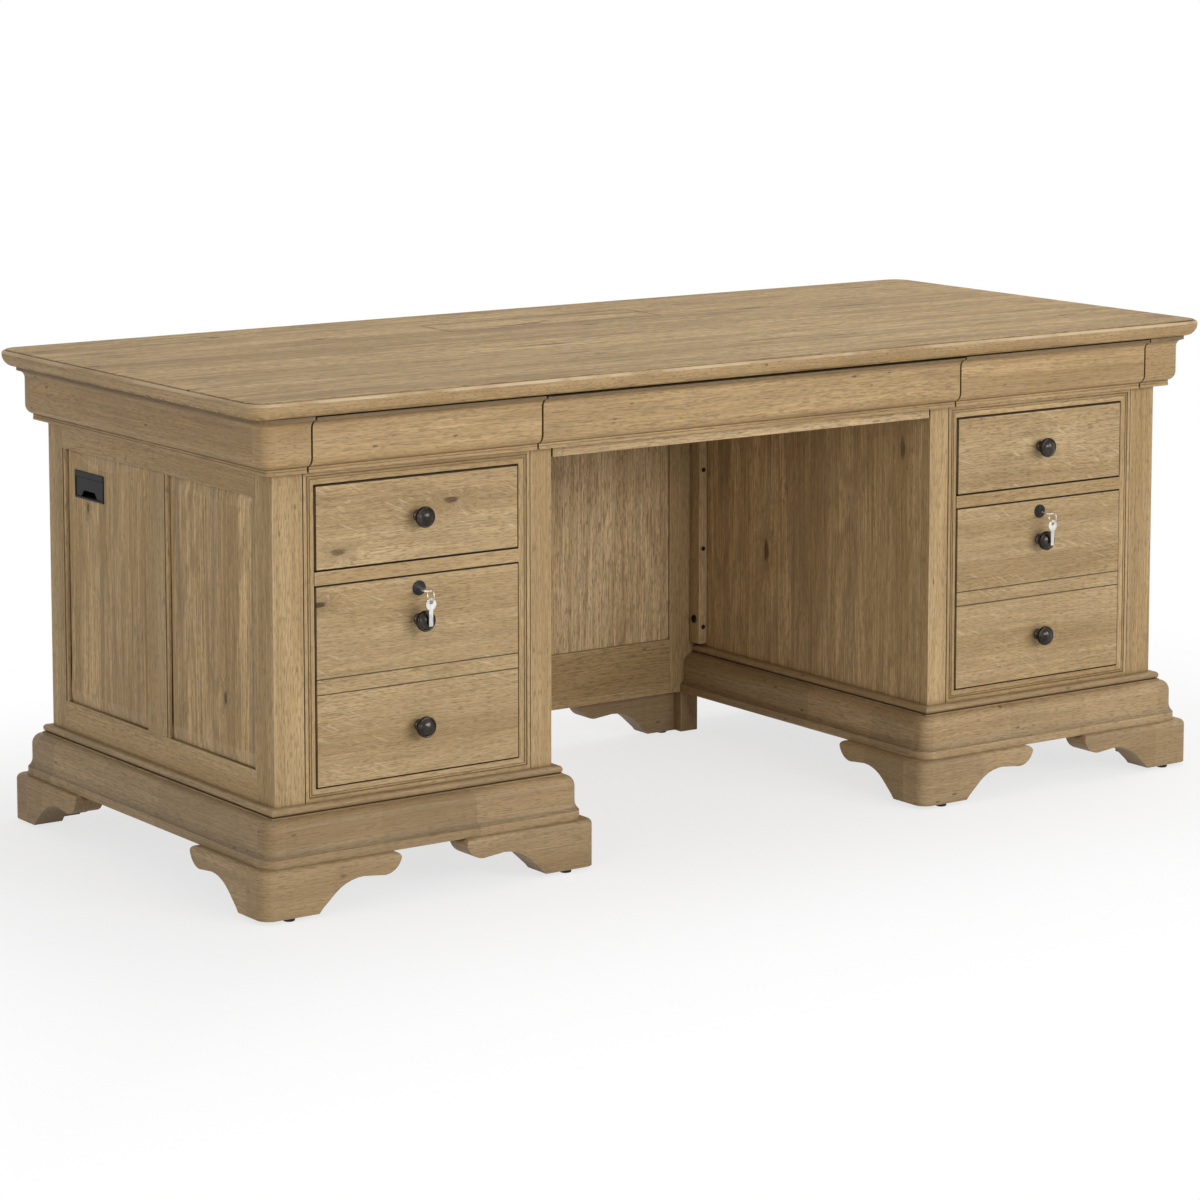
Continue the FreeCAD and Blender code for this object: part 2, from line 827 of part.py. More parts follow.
def bead_run(name, corners, on_outer_face):
    """A mitred half-round bead drawn by its corners in plan."""
    body = new_body(name)
    pad(body, sketch(body, f"{name}_plan", "XY_Plane", corners), s.bead_height)
    fillet(body, lambda edge: edge.BoundBox.ZLength < TOUCH and on_outer_face(edge.BoundBox), s.bead_round)
    return place(body, 0, 0, plinth_top)


def left_beads():
    """Beads on the plinth of the left pedestal."""
    reach = s.bead_reach
    front_outer = (-case_x - reach, case_front - reach)
    front_inner = (reach - inner_x, case_front - reach)
    back_outer = (-case_x - reach, case_back + reach)
    knee_back = (reach - inner_x, modesty_front)
    return [
        bead_run(
            "front_bead",
            [front_outer, front_inner, (-inner_x, case_front), (-case_x, case_front)],
            lambda bounds: bounds.YMax < (case_front - reach).value + TOUCH,
        ),
        bead_run(
            "side_bead", [front_outer, (-case_x, case_front), (-case_x, case_back), back_outer],
            lambda bounds: bounds.XMax < (-case_x - reach).value + TOUCH,
        ),
        bead_run(
            "knee_bead",
            [(-inner_x, case_front), front_inner, knee_back, (-inner_x, modesty_front)],
            lambda bounds: bounds.XMin > (reach - inner_x).value - TOUCH,
        ),
        bead_run(
            "back_bead",
            [(-case_x, case_back), (-inner_x, case_back), (-inner_x, case_back + reach), back_outer],
            lambda bounds: bounds.YMin > (case_back + reach).value - TOUCH,
        ),
    ]


def make_plinths():
    """Moulded plinth round each pedestal with its bead."""
    out = s.plinth_corner
    profile = plinth_profile()
    cornered = plinth_profile(0, out)
    turned = plinth_profile(out, out)
    half = moulding("plinth_front_half", cornered, s.pedestal_width / 2 + out, turned, out)
    half = place(half, -case_x - out, case_front - out, 0)
    other = mirror("plinth_front_other", half, ACROSS, x=-pedestal_x)
    front = fuse("plinth_front", [half, other])
    side = moulding("plinth_side", profile, case_back - case_front)
    side = place(side, -case_x, case_back, 0, -QUARTER_TURN)
    knee = moulding("plinth_knee", profile, modesty_front - case_front)
    knee = place(knee, -inner_x, case_front, 0, QUARTER_TURN)
    back = moulding("plinth_back_right", cornered, s.pedestal_width + out, turned, out)
    back = place(back, case_x + out, case_back + out, 0, HALF_TURN)
    left = [front, side, knee, mirror("plinth_back_left", back, ACROSS)] + left_beads()
    right = [mirror(f"{item.Name}_mirrored", item, ACROSS) for item in left]
    node("left_plinth", left)
    node("right_plinth", right)


def wing_body(name, outline, plane, reach, backwards):
    """One bracket of a foot, its upper outer edge rounded."""
    body = new_body(name)
    pad(body, sketch(body, f"{name}_outline", plane, outline), reach, backwards)
    direction = {"XZ_Plane": "Y", "YZ_Plane": "X"}[plane]

    def on_upper_outer_edge(edge):
        bounds = edge.BoundBox
        middle = (getattr(bounds, f"{direction}Min") + getattr(bounds, f"{direction}Max")) / 2
        is_outer = abs(abs(middle) - reach.value) < TOUCH
        return is_outer and bounds.ZMin > foot_top.value - TOUCH

    fillet(body, on_upper_outer_edge, s.foot_edge)
    return body


def foot_section(inner, start):
    """Foot block section with its rounded upper edge; its zero lies the start distance outside the case."""
    back = as_size(start) - inner
    outer = as_size(start) - s.foot_reach
    return [
        (back, s.glide_height),
        (back, foot_top),
        (outer + s.foot_edge, foot_top, s.foot_edge, "left"),
        (outer, foot_top - s.foot_edge),
        (outer, s.glide_height),
    ]


def corner_foot():
    """Front left foot: a front bracket with the rounded corner, and a side bracket."""
    out = s.foot_corner
    corner = moulding("foot_corner", foot_section(0, out), out, foot_section(out, out), out)
    corner = place(corner, -case_x - out, case_front - out, 0)
    front = wing_body("foot_front", bracket_outline(0, s.foot_wing), "XZ_Plane", s.foot_reach, False)
    side = wing_body("foot_side", bracket_outline(0, s.foot_side_wing), "YZ_Plane", s.foot_reach, True)
    front, side = [place(item, -case_x, case_front, 0) for item in (front, side)]
    return [fuse("foot_front_whole", [corner, front]), side]


def make_feet():
    """Bracket feet at every corner, glue blocks behind them and glides under them."""
    feet = corner_foot()
    feet += [mirror(f"{item.Name}_knee", item, ACROSS, x=-pedestal_x) for item in feet]
    feet += [mirror(f"{item.Name}_back", item, LENGTHWISE) for item in feet[:2]]
    feet += [mirror(f"{item.Name}_right", item, ACROSS) for item in feet]
    straight = bracket_outline(0, s.foot_wing + s.foot_reach)
    modesty = wing_body("foot_modesty", straight, "XZ_Plane", s.modesty_foot_reach, True)
    modesty = place(modesty, -inner_x, modesty_back, 0)
    feet += [modesty, mirror("foot_modesty_other", modesty, ACROSS)]
    node("bracket_feet", feet)

    blocks = []
    glides = []
    block_z = (s.glide_height + s.foot_block_gap, foot_top)
    sole = s.foot_reach - s.glide_radius - s.glide_margin
    for side, sign in SIDES:
        outer_x = span(sign, case_x - s.foot_block, case_x)
        knee_x = span(sign, inner_x, inner_x + s.foot_block)
        front_y = (case_front, case_front + s.foot_block)
        back_y = (case_back - s.foot_block, case_back)
        blocks.append(box(f"{side}_front_block", outer_x, front_y, block_z))
        blocks.append(box(f"{side}_knee_block", knee_x, front_y, block_z))
        blocks.append(box(f"{side}_back_block", outer_x, back_y, block_z))
        spots = {
            "front_outer": (case_x, case_front - sole),
            "front_inner": (inner_x, case_front - sole),
            "back_outer": (case_x, case_back + sole),
            "modesty": (inner_x - s.foot_reach, modesty_back + s.modesty_foot_reach / 2),
        }
        for spot, (x, y) in spots.items():
            glides.append(rod(
                f"{side}_{spot}_glide", s.glide_radius, s.glide_height, x * sign, y, 0, "z",
            ))
    node("foot_blocks", blocks)
    node("foot_glides", glides)


def make_modesty():
    """Frame, panel and plinth at the back of the kneehole, with cleats, screws and bolts."""
    board = (modesty_front, modesty_back)
    rail_x = inner_x - s.modesty_stile
    panel_low = foot_top + s.modesty_bottom_rail
    panel_high = top_base - s.modesty_top_rail
    frame = [
        box("modesty_bottom_rail", (-rail_x, rail_x), board, (foot_top, panel_low)),
        box("modesty_top_rail", (-rail_x, rail_x), board, (panel_high, top_base)),
    ]
    cleats = []
    fasteners = []
    cleat_low = case_base + s.cleat_foot
    cleat_face = modesty_front - s.cleat_depth
    for side, sign in SIDES:
        stile = box(f"{side}_modesty_stile", span(sign, rail_x, inner_x), board, (foot_top, top_base))
        leg_x = span(sign, inner_x - s.modesty_leg, inner_x)
        leg = box(f"{side}_modesty_leg", leg_x, board, (s.glide_height, foot_top))
        frame += [stile, leg]
        cleat_x = span(sign, inner_x - s.cleat_width, inner_x)
        cleats.append(box(f"{side}_cleat", cleat_x, (cleat_face, modesty_front), (cleat_low, frieze_base)))
        screw_x = (inner_x - s.cleat_width / 2) * sign
        for number in range(3):
            height = case_base + s.screw_low + s.screw_pitch * number
            fasteners.append(rod(
                f"{side}_cleat_screw_{number}", s.screw_radius, s.screw_head,
                screw_x, cleat_face, height, "-y",
            ))
        bolt_y = modesty_front - s.cleat_depth / 2
        bolt_x = span(sign, inner_x - s.cleat_width - s.bolt_head, inner_x - s.cleat_width)[0]
        for number in range(2):
            height = case_base + s.bolt_low + s.bolt_pitch * number
            fasteners.append(rod(
                f"{side}_cleat_bolt_{number}", s.bolt_radius, s.bolt_head,
                bolt_x, bolt_y, height, "x",
            ))
    plinth = moulding("modesty_plinth", plinth_profile(), inner_x * 2)
    frame.append(place(plinth, inner_x, modesty_back, 0, HALF_TURN))
    field = (modesty_front + s.panel_recess, modesty_front + s.panel_recess + s.panel_board)
    node("modesty_frame", frame)
    node("modesty_panel", [box("modesty_field", (-rail_x, rail_x), field, (panel_low, panel_high))])
    node("modesty_cleats", cleats)
    node("cleat_fasteners", fasteners)


def make_grommet():
    """Cable outlet frame in the left rear panel and its hinged flap."""
    (front, back), (low, high) = grommet_bounds()
    face = case_x - s.panel_recess
    depth = (-face - s.flap_thickness, s.panel_board - face)
    inside = (low + s.grommet_rim, high - s.grommet_bar)
    node("cable_grommet", [
        box("grommet_top_bar", depth, (front, back), (inside[1], high)),
        box("grommet_bottom_rim", depth, (front, back), (low, inside[0])),
        box("grommet_front_rim", depth, (front, front + s.grommet_rim), inside),
        box("grommet_rear_rim", depth, (back - s.grommet_rim, back), inside),
    ])
    middle = (front + back) / 2
    flap_front = front + s.grommet_rim + s.flap_gap
    flap_back = back - s.grommet_rim - s.flap_gap
    flap_low = inside[0] + s.flap_gap
    flap_high = inside[1] - s.flap_gap
    notch = flap_low + s.flap_notch_height
    flap = new_body("flap")
    pad(flap, sketch(flap, "flap_outline", "YZ_Plane", [
        (flap_front, flap_low),
        (middle - s.flap_notch_width / 2, flap_low),
        (middle - s.flap_notch_top / 2, notch),
        (middle + s.flap_notch_top / 2, notch),
        (middle + s.flap_notch_width / 2, flap_low),
        (flap_back, flap_low),
        (flap_back, flap_high),
        (flap_front, flap_high),
    ]), s.flap_thickness)
    node("grommet_flap", [place(flap, -face - s.flap_thickness / 2, 0, 0)])


def tray_boards(name, x, y, z):
    """Sides, front, back and bottom of an open drawer box."""
    side = s.tray_board
    between_x = (x[0] + side, x[1] - side)
    between_y = (y[0] + side, y[1] - side)
    return [
        box(f"{name}_side_a", (x[0], between_x[0]), y, z),
        box(f"{name}_side_b", (between_x[1], x[1]), y, z),
        box(f"{name}_inner_front", between_x, (y[0], between_y[0]), z),
        box(f"{name}_back", between_x, (between_y[1], y[1]), z),
        box(f"{name}_bottom", between_x, between_y, (z[0], z[0] + s.tray_bottom)),
    ]


def make_frieze_drawers():
    """Two side drawers behind the frieze, and a centre tray with a drop front."""
    outer = case_x - s.outer_stile
    inner = inner_x + s.inner_stile
    side_profile = frieze_profile(s.frieze_back_gap, s.frieze_side_top_gap)
    front = moulding("frieze_drawer_left", side_profile, outer - inner)
    front = place(front, -outer, case_front, 0)
    node("left_frieze_front", [front])
    node("right_frieze_front", [mirror("frieze_drawer_right", front, ACROSS)])
    tray_y = (case_front - s.frieze_back_gap, frieze_tray_back)
    tray_z = (frieze_tray_low, frieze_tray_top)
    for side, sign in SIDES:
        tray_x = span(sign, inner + s.frieze_tray_side_gap, outer - s.frieze_tray_side_gap)
        node(f"{side}_frieze_tray", tray_boards(f"{side}_frieze", tray_x, tray_y, tray_z))

    centre_x = inner - s.frieze_gap
    centre_profile = frieze_profile(s.frieze_back_gap, s.frieze_centre_top_gap)
    centre = moulding("frieze_drawer_centre", centre_profile, centre_x * 2)
    node("centre_front", [place(centre, -centre_x, case_front, 0)])

    rail_x = inner_x - s.centre_tray_gap
    board_x = rail_x - s.centre_tray_side
    web_x = board_x - s.centre_tray_web
    centre_y = (case_front, frieze_tray_back)
    low = (frieze_base - s.centre_tray_drop, frieze_base)
    above_runner = frieze_base + s.running_gap * 2 + s.runner_height
    wall = (frieze_base, frieze_tray_top)
    boards = [
        box("centre_board", (-board_x, board_x), centre_y, low),
        box("centre_back", (-web_x, web_x), (centre_y[1] - s.tray_board, centre_y[1]), wall),
    ]
    for side, sign in SIDES:
        rail = span(sign, board_x, rail_x)
        boards.append(box(f"centre_{side}_lower_rail", rail, centre_y, low))
        boards.append(box(f"centre_{side}_upper_rail", rail, centre_y, (above_runner, frieze_tray_top)))
        boards.append(box(f"centre_{side}_web", span(sign, web_x, board_x), centre_y, wall))
    node("centre_tray", boards)


def knob(name, z):
    """Turned knob on the left pedestal: flange, waisted neck and domed head."""
    head_back = s.knob_length - s.knob_dome - s.knob_rim
    dome_edge = s.knob_length - s.knob_dome
    dome_radius = (s.knob_radius * s.knob_radius + s.knob_dome * s.knob_dome) / (s.knob_dome * 2)
    body = new_body(name)
    profile = sketch(body, f"{name}_profile", "XY_Plane", [
        (0, 0),
        (s.knob_flange, 0),
        (s.knob_flange, -s.knob_flange_depth),
        (s.knob_neck, -s.knob_flange_depth * 2),
        (s.knob_neck, -head_back / 2),
        (s.knob_radius, -head_back),
        (s.knob_radius, -dome_edge, dome_radius, "right"),
        (0, -s.knob_length),
    ])
    revolve(body, profile, "Y_Axis", FULL_TURN)
    return place(body, -opening_x, front_face, z)


def make_box_drawers():
    """Upper pedestal drawers with front, box, knob and slide members."""
    front_z = (rail_high + s.reveal, opening_high - s.reveal)
    handle = knob("box_knob", (front_z[0] + front_z[1]) / 2 + s.knob_rise)
    for side, sign in SIDES:
        front_x = span(sign, opening_inner + s.reveal, opening_outer - s.reveal)
        front = box(f"{side}_box_board", front_x, (front_face, front_back), front_z)
        node(f"{side}_box_front", [front])
        make_drawer_box(side, sign, "box")
    node("left_box_knob", [handle])
    node("right_box_knob", [mirror("right_knob", handle, ACROSS)])


def make_drawer_box(side, sign, drawer):
    """The box behind a pedestal drawer front, and the slide members fixed to it."""
    floor, top = tray_heights()[drawer]
    middle = (floor + top) / 2
    outer = opening_outer - s.slide_gap
    inner = opening_inner + s.slide_gap
    depth = (front_back, drawer_back)
    boards = tray_boards(f"{side}_{drawer}", span(sign, inner, outer), depth, (floor, top))
    node(f"{side}_{drawer}_tray", boards)
    slide_y = (front_back, slide_back)
    slide_z = (middle - s.slide_height / 2, middle + s.slide_height / 2)
    node(f"{side}_{drawer}_slides", [
        box(f"{side}_{drawer}_outer_member", span(sign, outer, outer + s.slide_member), slide_y, slide_z),
        box(f"{side}_{drawer}_inner_member", span(sign, inner - s.slide_member, inner), slide_y, slide_z),
    ])


def make_file_drawers():
    """Lower pedestal drawers: one deep front scored to look like two, with lock and key."""
    front_z = (opening_low + s.reveal, rail_low - s.reveal)
    middle = (front_z[0] + front_z[1]) / 2
    faux_low = middle - s.faux_rail / 2
    faux_high = middle + s.faux_rail / 2
    lock_z = front_z[1] - s.lock_drop
    upper = knob("upper_knob", lock_z - s.knob_below_lock)
    lower = knob("lower_knob", (front_z[0] + faux_low) / 2 + s.knob_rise)
    front_x = span(-1, opening_inner + s.reveal, opening_outer - s.reveal)
    groove_y = (front_face, front_face + s.groove_depth)
    board = box("file_board", front_x, (front_face, front_back), front_z)
    tools = [
        box("groove_low", front_x, groove_y, (faux_low - s.groove_width, faux_low)),
        box("groove_high", front_x, groove_y, (faux_high, faux_high + s.groove_width)),
        rod(
            "lock_hole", s.lock_barrel_radius + s.lock_clearance, s.front_board,
            -opening_x, front_back, lock_z, "-y",
        ),
    ]
    front = cut("file_front_scored", board, tools)
    for side, sign in SIDES:
        make_drawer_box(side, sign, "file")
    pieces = {
        "file_front": [front],
        "file_knobs": [upper, lower],
        "lock_cylinder": [lock_cylinder(lock_z)],
        "lock_key": [lock_key(lock_z)],
        "key_ring": key_ring(lock_z),
    }
    for name, items in pieces.items():
        others = [mirror(f"{item.Name}_right", item, ACROSS) for item in items]
        node(f"left_{name}", items)
        node(f"right_{name}", others)


def lock_back():
    """Plane where the lock barrel ends behind the drawer front."""
    return front_back + s.slide_member


def lock_cylinder(z):
    """Rim and barrel of the cam lock, bored for its plug."""
    back = lock_back()
    x = -opening_x
    rim = rod("lock_rim", s.lock_rim_radius, s.lock_rim, x, front_face, z, "-y")
    barrel = rod("lock_barrel", s.lock_barrel_radius, back - front_face, x, back, z, "-y")
    bore_length = back - front_face + s.lock_rim
    bore = rod("lock_bore", s.lock_plug_radius + s.lock_clearance, bore_length, x, back, z, "-y")
    return cut("lock_cylinder_solid", fuse("lock_body", [rim, barrel]), [bore])


def key_hole_y():
    """Where the ring passes through the bow of the key in the lock."""
    return front_face - s.key_reach


def lock_key(z):
    """Lock plug with its cam behind and the key in front, lying flat."""
    x = -opening_x
    cam_front = lock_back() + s.lock_clearance
    cam_back = cam_front + s.cam_thickness
    face = front_face - s.lock_rim
    hole = key_hole_y()
    bow_y = hole + s.key_bow_radius - s.key_hole_radius - s.key_hole_margin
    flat = (z - s.key_thickness / 2, z + s.key_thickness / 2)
    plug = rod("plug", s.lock_plug_radius, cam_back - face, x, cam_back, z, "-y")
    cam_x = (x - s.cam_length, x + s.cam_width / 2)
    cam = box("cam", cam_x, (cam_front, cam_back), (z - s.cam_width / 2, z + s.cam_width / 2))
    blade = box("key_blade_bar", (x - s.key_blade / 2, x + s.key_blade / 2), (bow_y, face), flat)
    bow = rod("key_bow", s.key_bow_radius, s.key_thickness, x, bow_y, flat[0], "z")
    eye = rod("key_eye", s.key_hole_radius, s.key_thickness, x, hole, flat[0], "z")
    return cut("key_solid", fuse("key_whole", [plug, cam, blade, bow]), [eye])


def key_ring(z):
    """Split ring through the key's bow with a spare key that faces the front."""
    x = -opening_x
    y = key_hole_y() - s.ring_offset
    ring = doc.addObject("Part::Torus", "ring")
    bind(ring, "Radius1", s.ring_radius)
    bind(ring, "Radius2", s.ring_wire)
    place(ring, x, y, z - s.ring_drop, QUARTER_TURN, Vector(0, 1, 0))
    eye_drop = s.key_hole_radius - s.ring_wire - s.ring_play
    eye_z = z - s.ring_drop - s.ring_radius - eye_drop
    bow_z = eye_z - s.key_bow_radius + s.key_hole_radius + s.key_hole_margin
    back = y + s.key_thickness / 2
    bow = rod("spare_bow", s.key_bow_radius, s.key_thickness, x, back, bow_z, "-y")
    blade_low = bow_z - s.key_bow_radius - s.spare_key_length
    blade_x = (x - s.key_blade / 2, x + s.key_blade / 2)
    blade = box("spare_blade", blade_x, (back - s.key_thickness, back), (blade_low, bow_z))
    eye = rod("spare_eye", s.key_hole_radius, s.key_thickness, x, back, eye_z, "-y")
    return [ring, cut("spare_key", fuse("spare_key_whole", [bow, blade]), [eye])]


def check_document():
    """Stops before anything is written if an object failed or a sub-part is not sound."""
    for item in doc.Objects:
        if "Invalid" in item.State or "Error" in item.State:
            raise RuntimeError(f"{item.Label} failed: {item.State}")
    for item in nodes:
        if item.Shape.isNull() or not item.Shape.isValid() or not item.Shape.Solids:
            raise RuntimeError(f"{item.Label} has no sound shape")


def main():
    make_top()
    make_frieze()
    for side, sign in SIDES:
        make_case(side, sign)
    make_side_panels()
    make_opening_mouldings()
    make_case_interior()
    make_pedestal_backs()
    make_plinths()
    make_feet()
    make_modesty()
    make_grommet()
    make_frieze_drawers()
    make_box_drawers()
    make_file_drawers()
    doc.recompute()
    check_document()
    os.makedirs("parts", exist_ok=True)
    for item in nodes:
        item.Shape.exportStep(f"parts/{item.Label}.step")
        print(item.Label, len(item.Shape.Solids), "solids")


main()
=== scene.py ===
import collections
import json
import math
import random

import bmesh
import bpy
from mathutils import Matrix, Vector


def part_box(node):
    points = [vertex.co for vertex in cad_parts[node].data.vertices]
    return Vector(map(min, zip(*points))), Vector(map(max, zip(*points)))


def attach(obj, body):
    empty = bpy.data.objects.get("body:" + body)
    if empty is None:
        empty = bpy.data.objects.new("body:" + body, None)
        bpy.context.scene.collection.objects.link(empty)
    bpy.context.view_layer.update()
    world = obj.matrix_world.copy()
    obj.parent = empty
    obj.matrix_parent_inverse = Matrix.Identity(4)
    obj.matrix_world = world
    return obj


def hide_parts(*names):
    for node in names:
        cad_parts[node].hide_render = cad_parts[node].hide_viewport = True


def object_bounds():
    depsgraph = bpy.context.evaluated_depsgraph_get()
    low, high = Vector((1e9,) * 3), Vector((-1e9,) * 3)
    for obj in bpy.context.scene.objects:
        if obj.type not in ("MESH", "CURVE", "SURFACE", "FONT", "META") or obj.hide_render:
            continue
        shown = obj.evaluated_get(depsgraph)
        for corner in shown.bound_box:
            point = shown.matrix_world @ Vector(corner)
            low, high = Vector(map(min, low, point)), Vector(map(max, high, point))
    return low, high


# Finish of the executive desk: oak boards with eased edges, moulded strips, dark hardware, studio stage.

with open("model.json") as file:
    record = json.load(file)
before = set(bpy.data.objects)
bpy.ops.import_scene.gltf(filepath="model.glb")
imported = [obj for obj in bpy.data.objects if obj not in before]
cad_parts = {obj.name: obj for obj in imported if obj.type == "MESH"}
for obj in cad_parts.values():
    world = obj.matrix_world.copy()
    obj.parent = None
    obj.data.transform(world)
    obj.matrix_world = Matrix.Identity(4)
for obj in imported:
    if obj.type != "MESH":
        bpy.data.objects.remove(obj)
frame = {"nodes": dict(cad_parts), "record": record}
CAD_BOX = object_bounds()
RECORD = frame["record"]
NODES = frame["nodes"]
BODY_OF = {node: body for body, members in RECORD["behaviour"]["bodies"].items() for node in members}
SLOT_OF = {row["node"]: row["material_slot"] for row in RECORD["subparts"]}

MM = 0.001
SHARP = math.radians(30)
FLAT = math.radians(0.8)
X, Y, Z = 0, 1, 2
SIDES = (("left", -1), ("right", 1))
draw = random.Random(7)


# Node graphs for the materials.

SHADER_INPUTS = {
    "colour": "Base Color", "roughness": "Roughness", "metallic": "Metallic", "normal": "Normal",
    "specular": "Specular IOR Level",
}


class Graph:
    """A material's nodes; an input is a plain value or the output of another node."""

    def __init__(self, name):
        self.material = bpy.data.materials.new(name)
        self.material.use_nodes = True
        self.tree = self.material.node_tree
        self.shader = self.tree.nodes["Principled BSDF"]

    def feed(self, socket, value):
        if isinstance(value, bpy.types.NodeSocket):
            self.tree.links.new(value, socket)
        else:
            socket.default_value = value

    def add(self, kind, inputs, output=0, **settings):
        item = self.tree.nodes.new(f"ShaderNode{kind}")
        for key, value in settings.items():
            setattr(item, key, value)
        for key, value in inputs.items():
            self.feed(item.inputs[key], value)
        return item.outputs[output]

    def math(self, operation, first, second=0.0):
        return self.add("Math", {0: first, 1: second}, operation=operation)

    def times(self, first, second):
        return self.math("MULTIPLY", first, second)

    def plus(self, first, second):
        return self.math("ADD", first, second)

    def minus(self, first, second):
        return self.math("SUBTRACT", first, second)

    def attribute(self, name, output):
        return self.add("Attribute", {}, output, attribute_name=name)

    def split(self, vector):
        item = self.tree.nodes.new("ShaderNodeSeparateXYZ")
        self.feed(item.inputs[0], vector)
        return item.outputs[0], item.outputs[1], item.outputs[2]

    def join(self, x, y, z=0.0):
        return self.add("CombineXYZ", {0: x, 1: y, 2: z})

    def noise(self, vector, detail=2.0, roughness=0.5, distortion=0.0):
        return self.add("TexNoise", {
            "Vector": vector, "Scale": 1.0, "Detail": detail,
            "Roughness": roughness, "Distortion": distortion,
        })

    def step(self, value, low, high):
        """Rises smoothly from 0 at low to 1 at high; falls where low is above high."""
        item = {"Value": value, "From Min": low, "From Max": high}
        return self.add("MapRange", item, interpolation_type="SMOOTHSTEP")

    def span(self, value, low, high):
        return self.add("MapRange", {"Value": value, "To Min": low, "To Max": high})

    def cells(self, vector, dimensions="3D", randomness=1.0):
        """The outputs of a cell pattern, one cell to each unit of the vector."""
        item = self.tree.nodes.new("ShaderNodeTexVoronoi")
        item.voronoi_dimensions = dimensions
        for key, value in (("Vector", vector), ("Scale", 1.0), ("Randomness", randomness)):
            self.feed(item.inputs[key], value)
        return item.outputs

    def mix(self, factor, first, second):
        item = self.tree.nodes.new("ShaderNodeMix")
        item.data_type = "RGBA"
        for index, value in ((0, factor), (6, first), (7, second)):
            self.feed(item.inputs[index], value)
        return item.outputs[2]

    def scale(self, vector, factor):
        """A place or a colour multiplied by one number."""
        return self.add("VectorMath", {0: vector, "Scale": factor}, operation="SCALE")

    def bump(self, height, strength, depth):
        return self.add("Bump", {"Height": height, "Strength": strength, "Distance": depth})

    def finish(self, **inputs):
        for key, value in inputs.items():
            self.feed(self.shader.inputs[SHADER_INPUTS[key]], value)
        return self.material


def rgb(red, green, blue):
    return (red, green, blue, 1.0)


PALE = rgb(0.515, 0.378, 0.212)
WARM = rgb(0.420, 0.288, 0.142)
BROWN = rgb(0.240, 0.155, 0.078)
ASH = rgb(0.270, 0.208, 0.132)
PORE = rgb(0.165, 0.104, 0.050)
KNOT = rgb(0.066, 0.037, 0.017)
# Near black for cracks, specks and glaze, and for painted shade in crevices and gaps.
DARK_GLAZE_AND_SHADE = rgb(0.040, 0.025, 0.013)
# Pale: ray flecks, worn edges, and highlights painted on edges.
BLEACHED_AND_HIGHLIGHT = rgb(0.610, 0.475, 0.305)

# Looks of oak: lengths in metres, the rest shares or strengths.
OAK = {
    "plank": 0.11, "plank_tone": 0.10, "joint": 0.0, "streak": 0.22, "fibre": 0.42, "bands": 0.15,
    "knots": 0.15, "knot_run": 0.45, "knot_size": 1.0, "rays": 0.0, "pores": 0.40, "dashes": 0.44,
    "specks": 0.3, "block": 0.0, "tint": (1.0, 1.0, 1.0), "wear": 0.5, "shelter_shade": 0.45, "gloss": 0.20,
    "rings": 0.10, "smudge": 0.0, "cracks": 0.0, "lines": 0.12,
}

# Noise drawn out along the grain: turns per metre along and across it, detail, roughness.
GRAIN = {
    "streak": (0.9, 15.0, 3.0, 0.55),
    "fibre": (5.0, 380.0, 2.0, 0.60),
    "pore": (80.0, 640.0, 0.0, 0.55),
    "dash": (36.0, 520.0, 0.0, 0.55),
    "figure": (1.1, 11.0, 1.0, 0.55),
    "band": (0.8, 30.0, 2.0, 0.55),
    "cloud": (4.0, 9.0, 3.0, 0.55),
    "line": (1.7, 95.0, 2.0, 0.55),
    "stain": (7.0, 22.0, 4.0, 0.65),
    "crack": (4.0, 60.0, 1.0, 0.55),
}

# Markings laid over the base colour in this order: noise, its start and full values, strength, colour.
MARKINGS = (
    ("band", 0.56, 0.72, "bands", ASH),
    ("ring", 0.10, 1.00, "rings", BROWN),
    ("pore", 0.56, 0.63, "pores", PORE),
    ("dash", 0.63, 0.69, "dashes", PORE),
    ("line", 0.56, 0.70, "lines", BROWN),
    ("stain", 0.50, 0.72, "smudge", BROWN),
    ("crack", 0.69, 0.73, "cracks", DARK_GLAZE_AND_SHADE),
)
RING_PITCH = 66.0
STREAK_EDGE = (0.28, 0.72)
CLOUD_TONE = 0.10
BLOCK_TONE = (0.84, 1.14)
OAK_ROUGHNESS = (0.70, 0.42)
GRAIN_BUMP = 0.30
GRAIN_DEPTH = 0.0006

# How a board's seed and a plank's chance set its grain apart from its neighbours'.
SEED_PLANK = 17.0
SEED_CHANCE = 31.0
SEED_RUN = 11.0
PLANK_RUN = 5.3
PLANK_SHIFT = 2.7
WANDER_GRAIN = (1.6, 7.0)
WANDER_REACH = 0.030

KNOT_SPREAD = 0.8
KNOT_FRAY = (70.0, 260.0)
KNOT_FRAY_SPAN = (0.4, 1.6)
KNOT_ROUND = 0.40
KNOT_RADIUS = (0.0018, 0.0065)
KNOT_CORE = (1.0, 0.5)
KNOT_HALO = (3.6, 0.8)
KNOT_HALO_TONE = 0.5
KNOT_PUSH = 0.008

RAY_SLANT = math.radians(24)
RAY_COS = math.cos(RAY_SLANT)
RAY_SIN = math.sin(RAY_SLANT)
RAY_GRAIN = (38.0, 330.0)
RAY_EDGE = (0.60, 0.68)
RAY_PATCH = (0.40, 0.58)

SPECK_GRAIN = (28.0, 70.0)
SPECK_RARITY = 0.86
SPECK_EDGE = (0.20, 0.08)
JOINT_EDGE = (0.008, 0.003)
WEAR_AND_HIGHLIGHT_PATCH = (0.34, 0.60)

# Painted shade in sheltered places, and dark glaze with painted shade in crevices: how far they look
# around, and from where they show.
SHELTER_REACH = 0.030
SHELTER_EDGE = (0.80, 0.30)
CREVICE_REACH = 0.008
CREVICE_EDGE = (0.62, 0.24)
CREVICE_GLAZE_AND_SHADE = 0.66


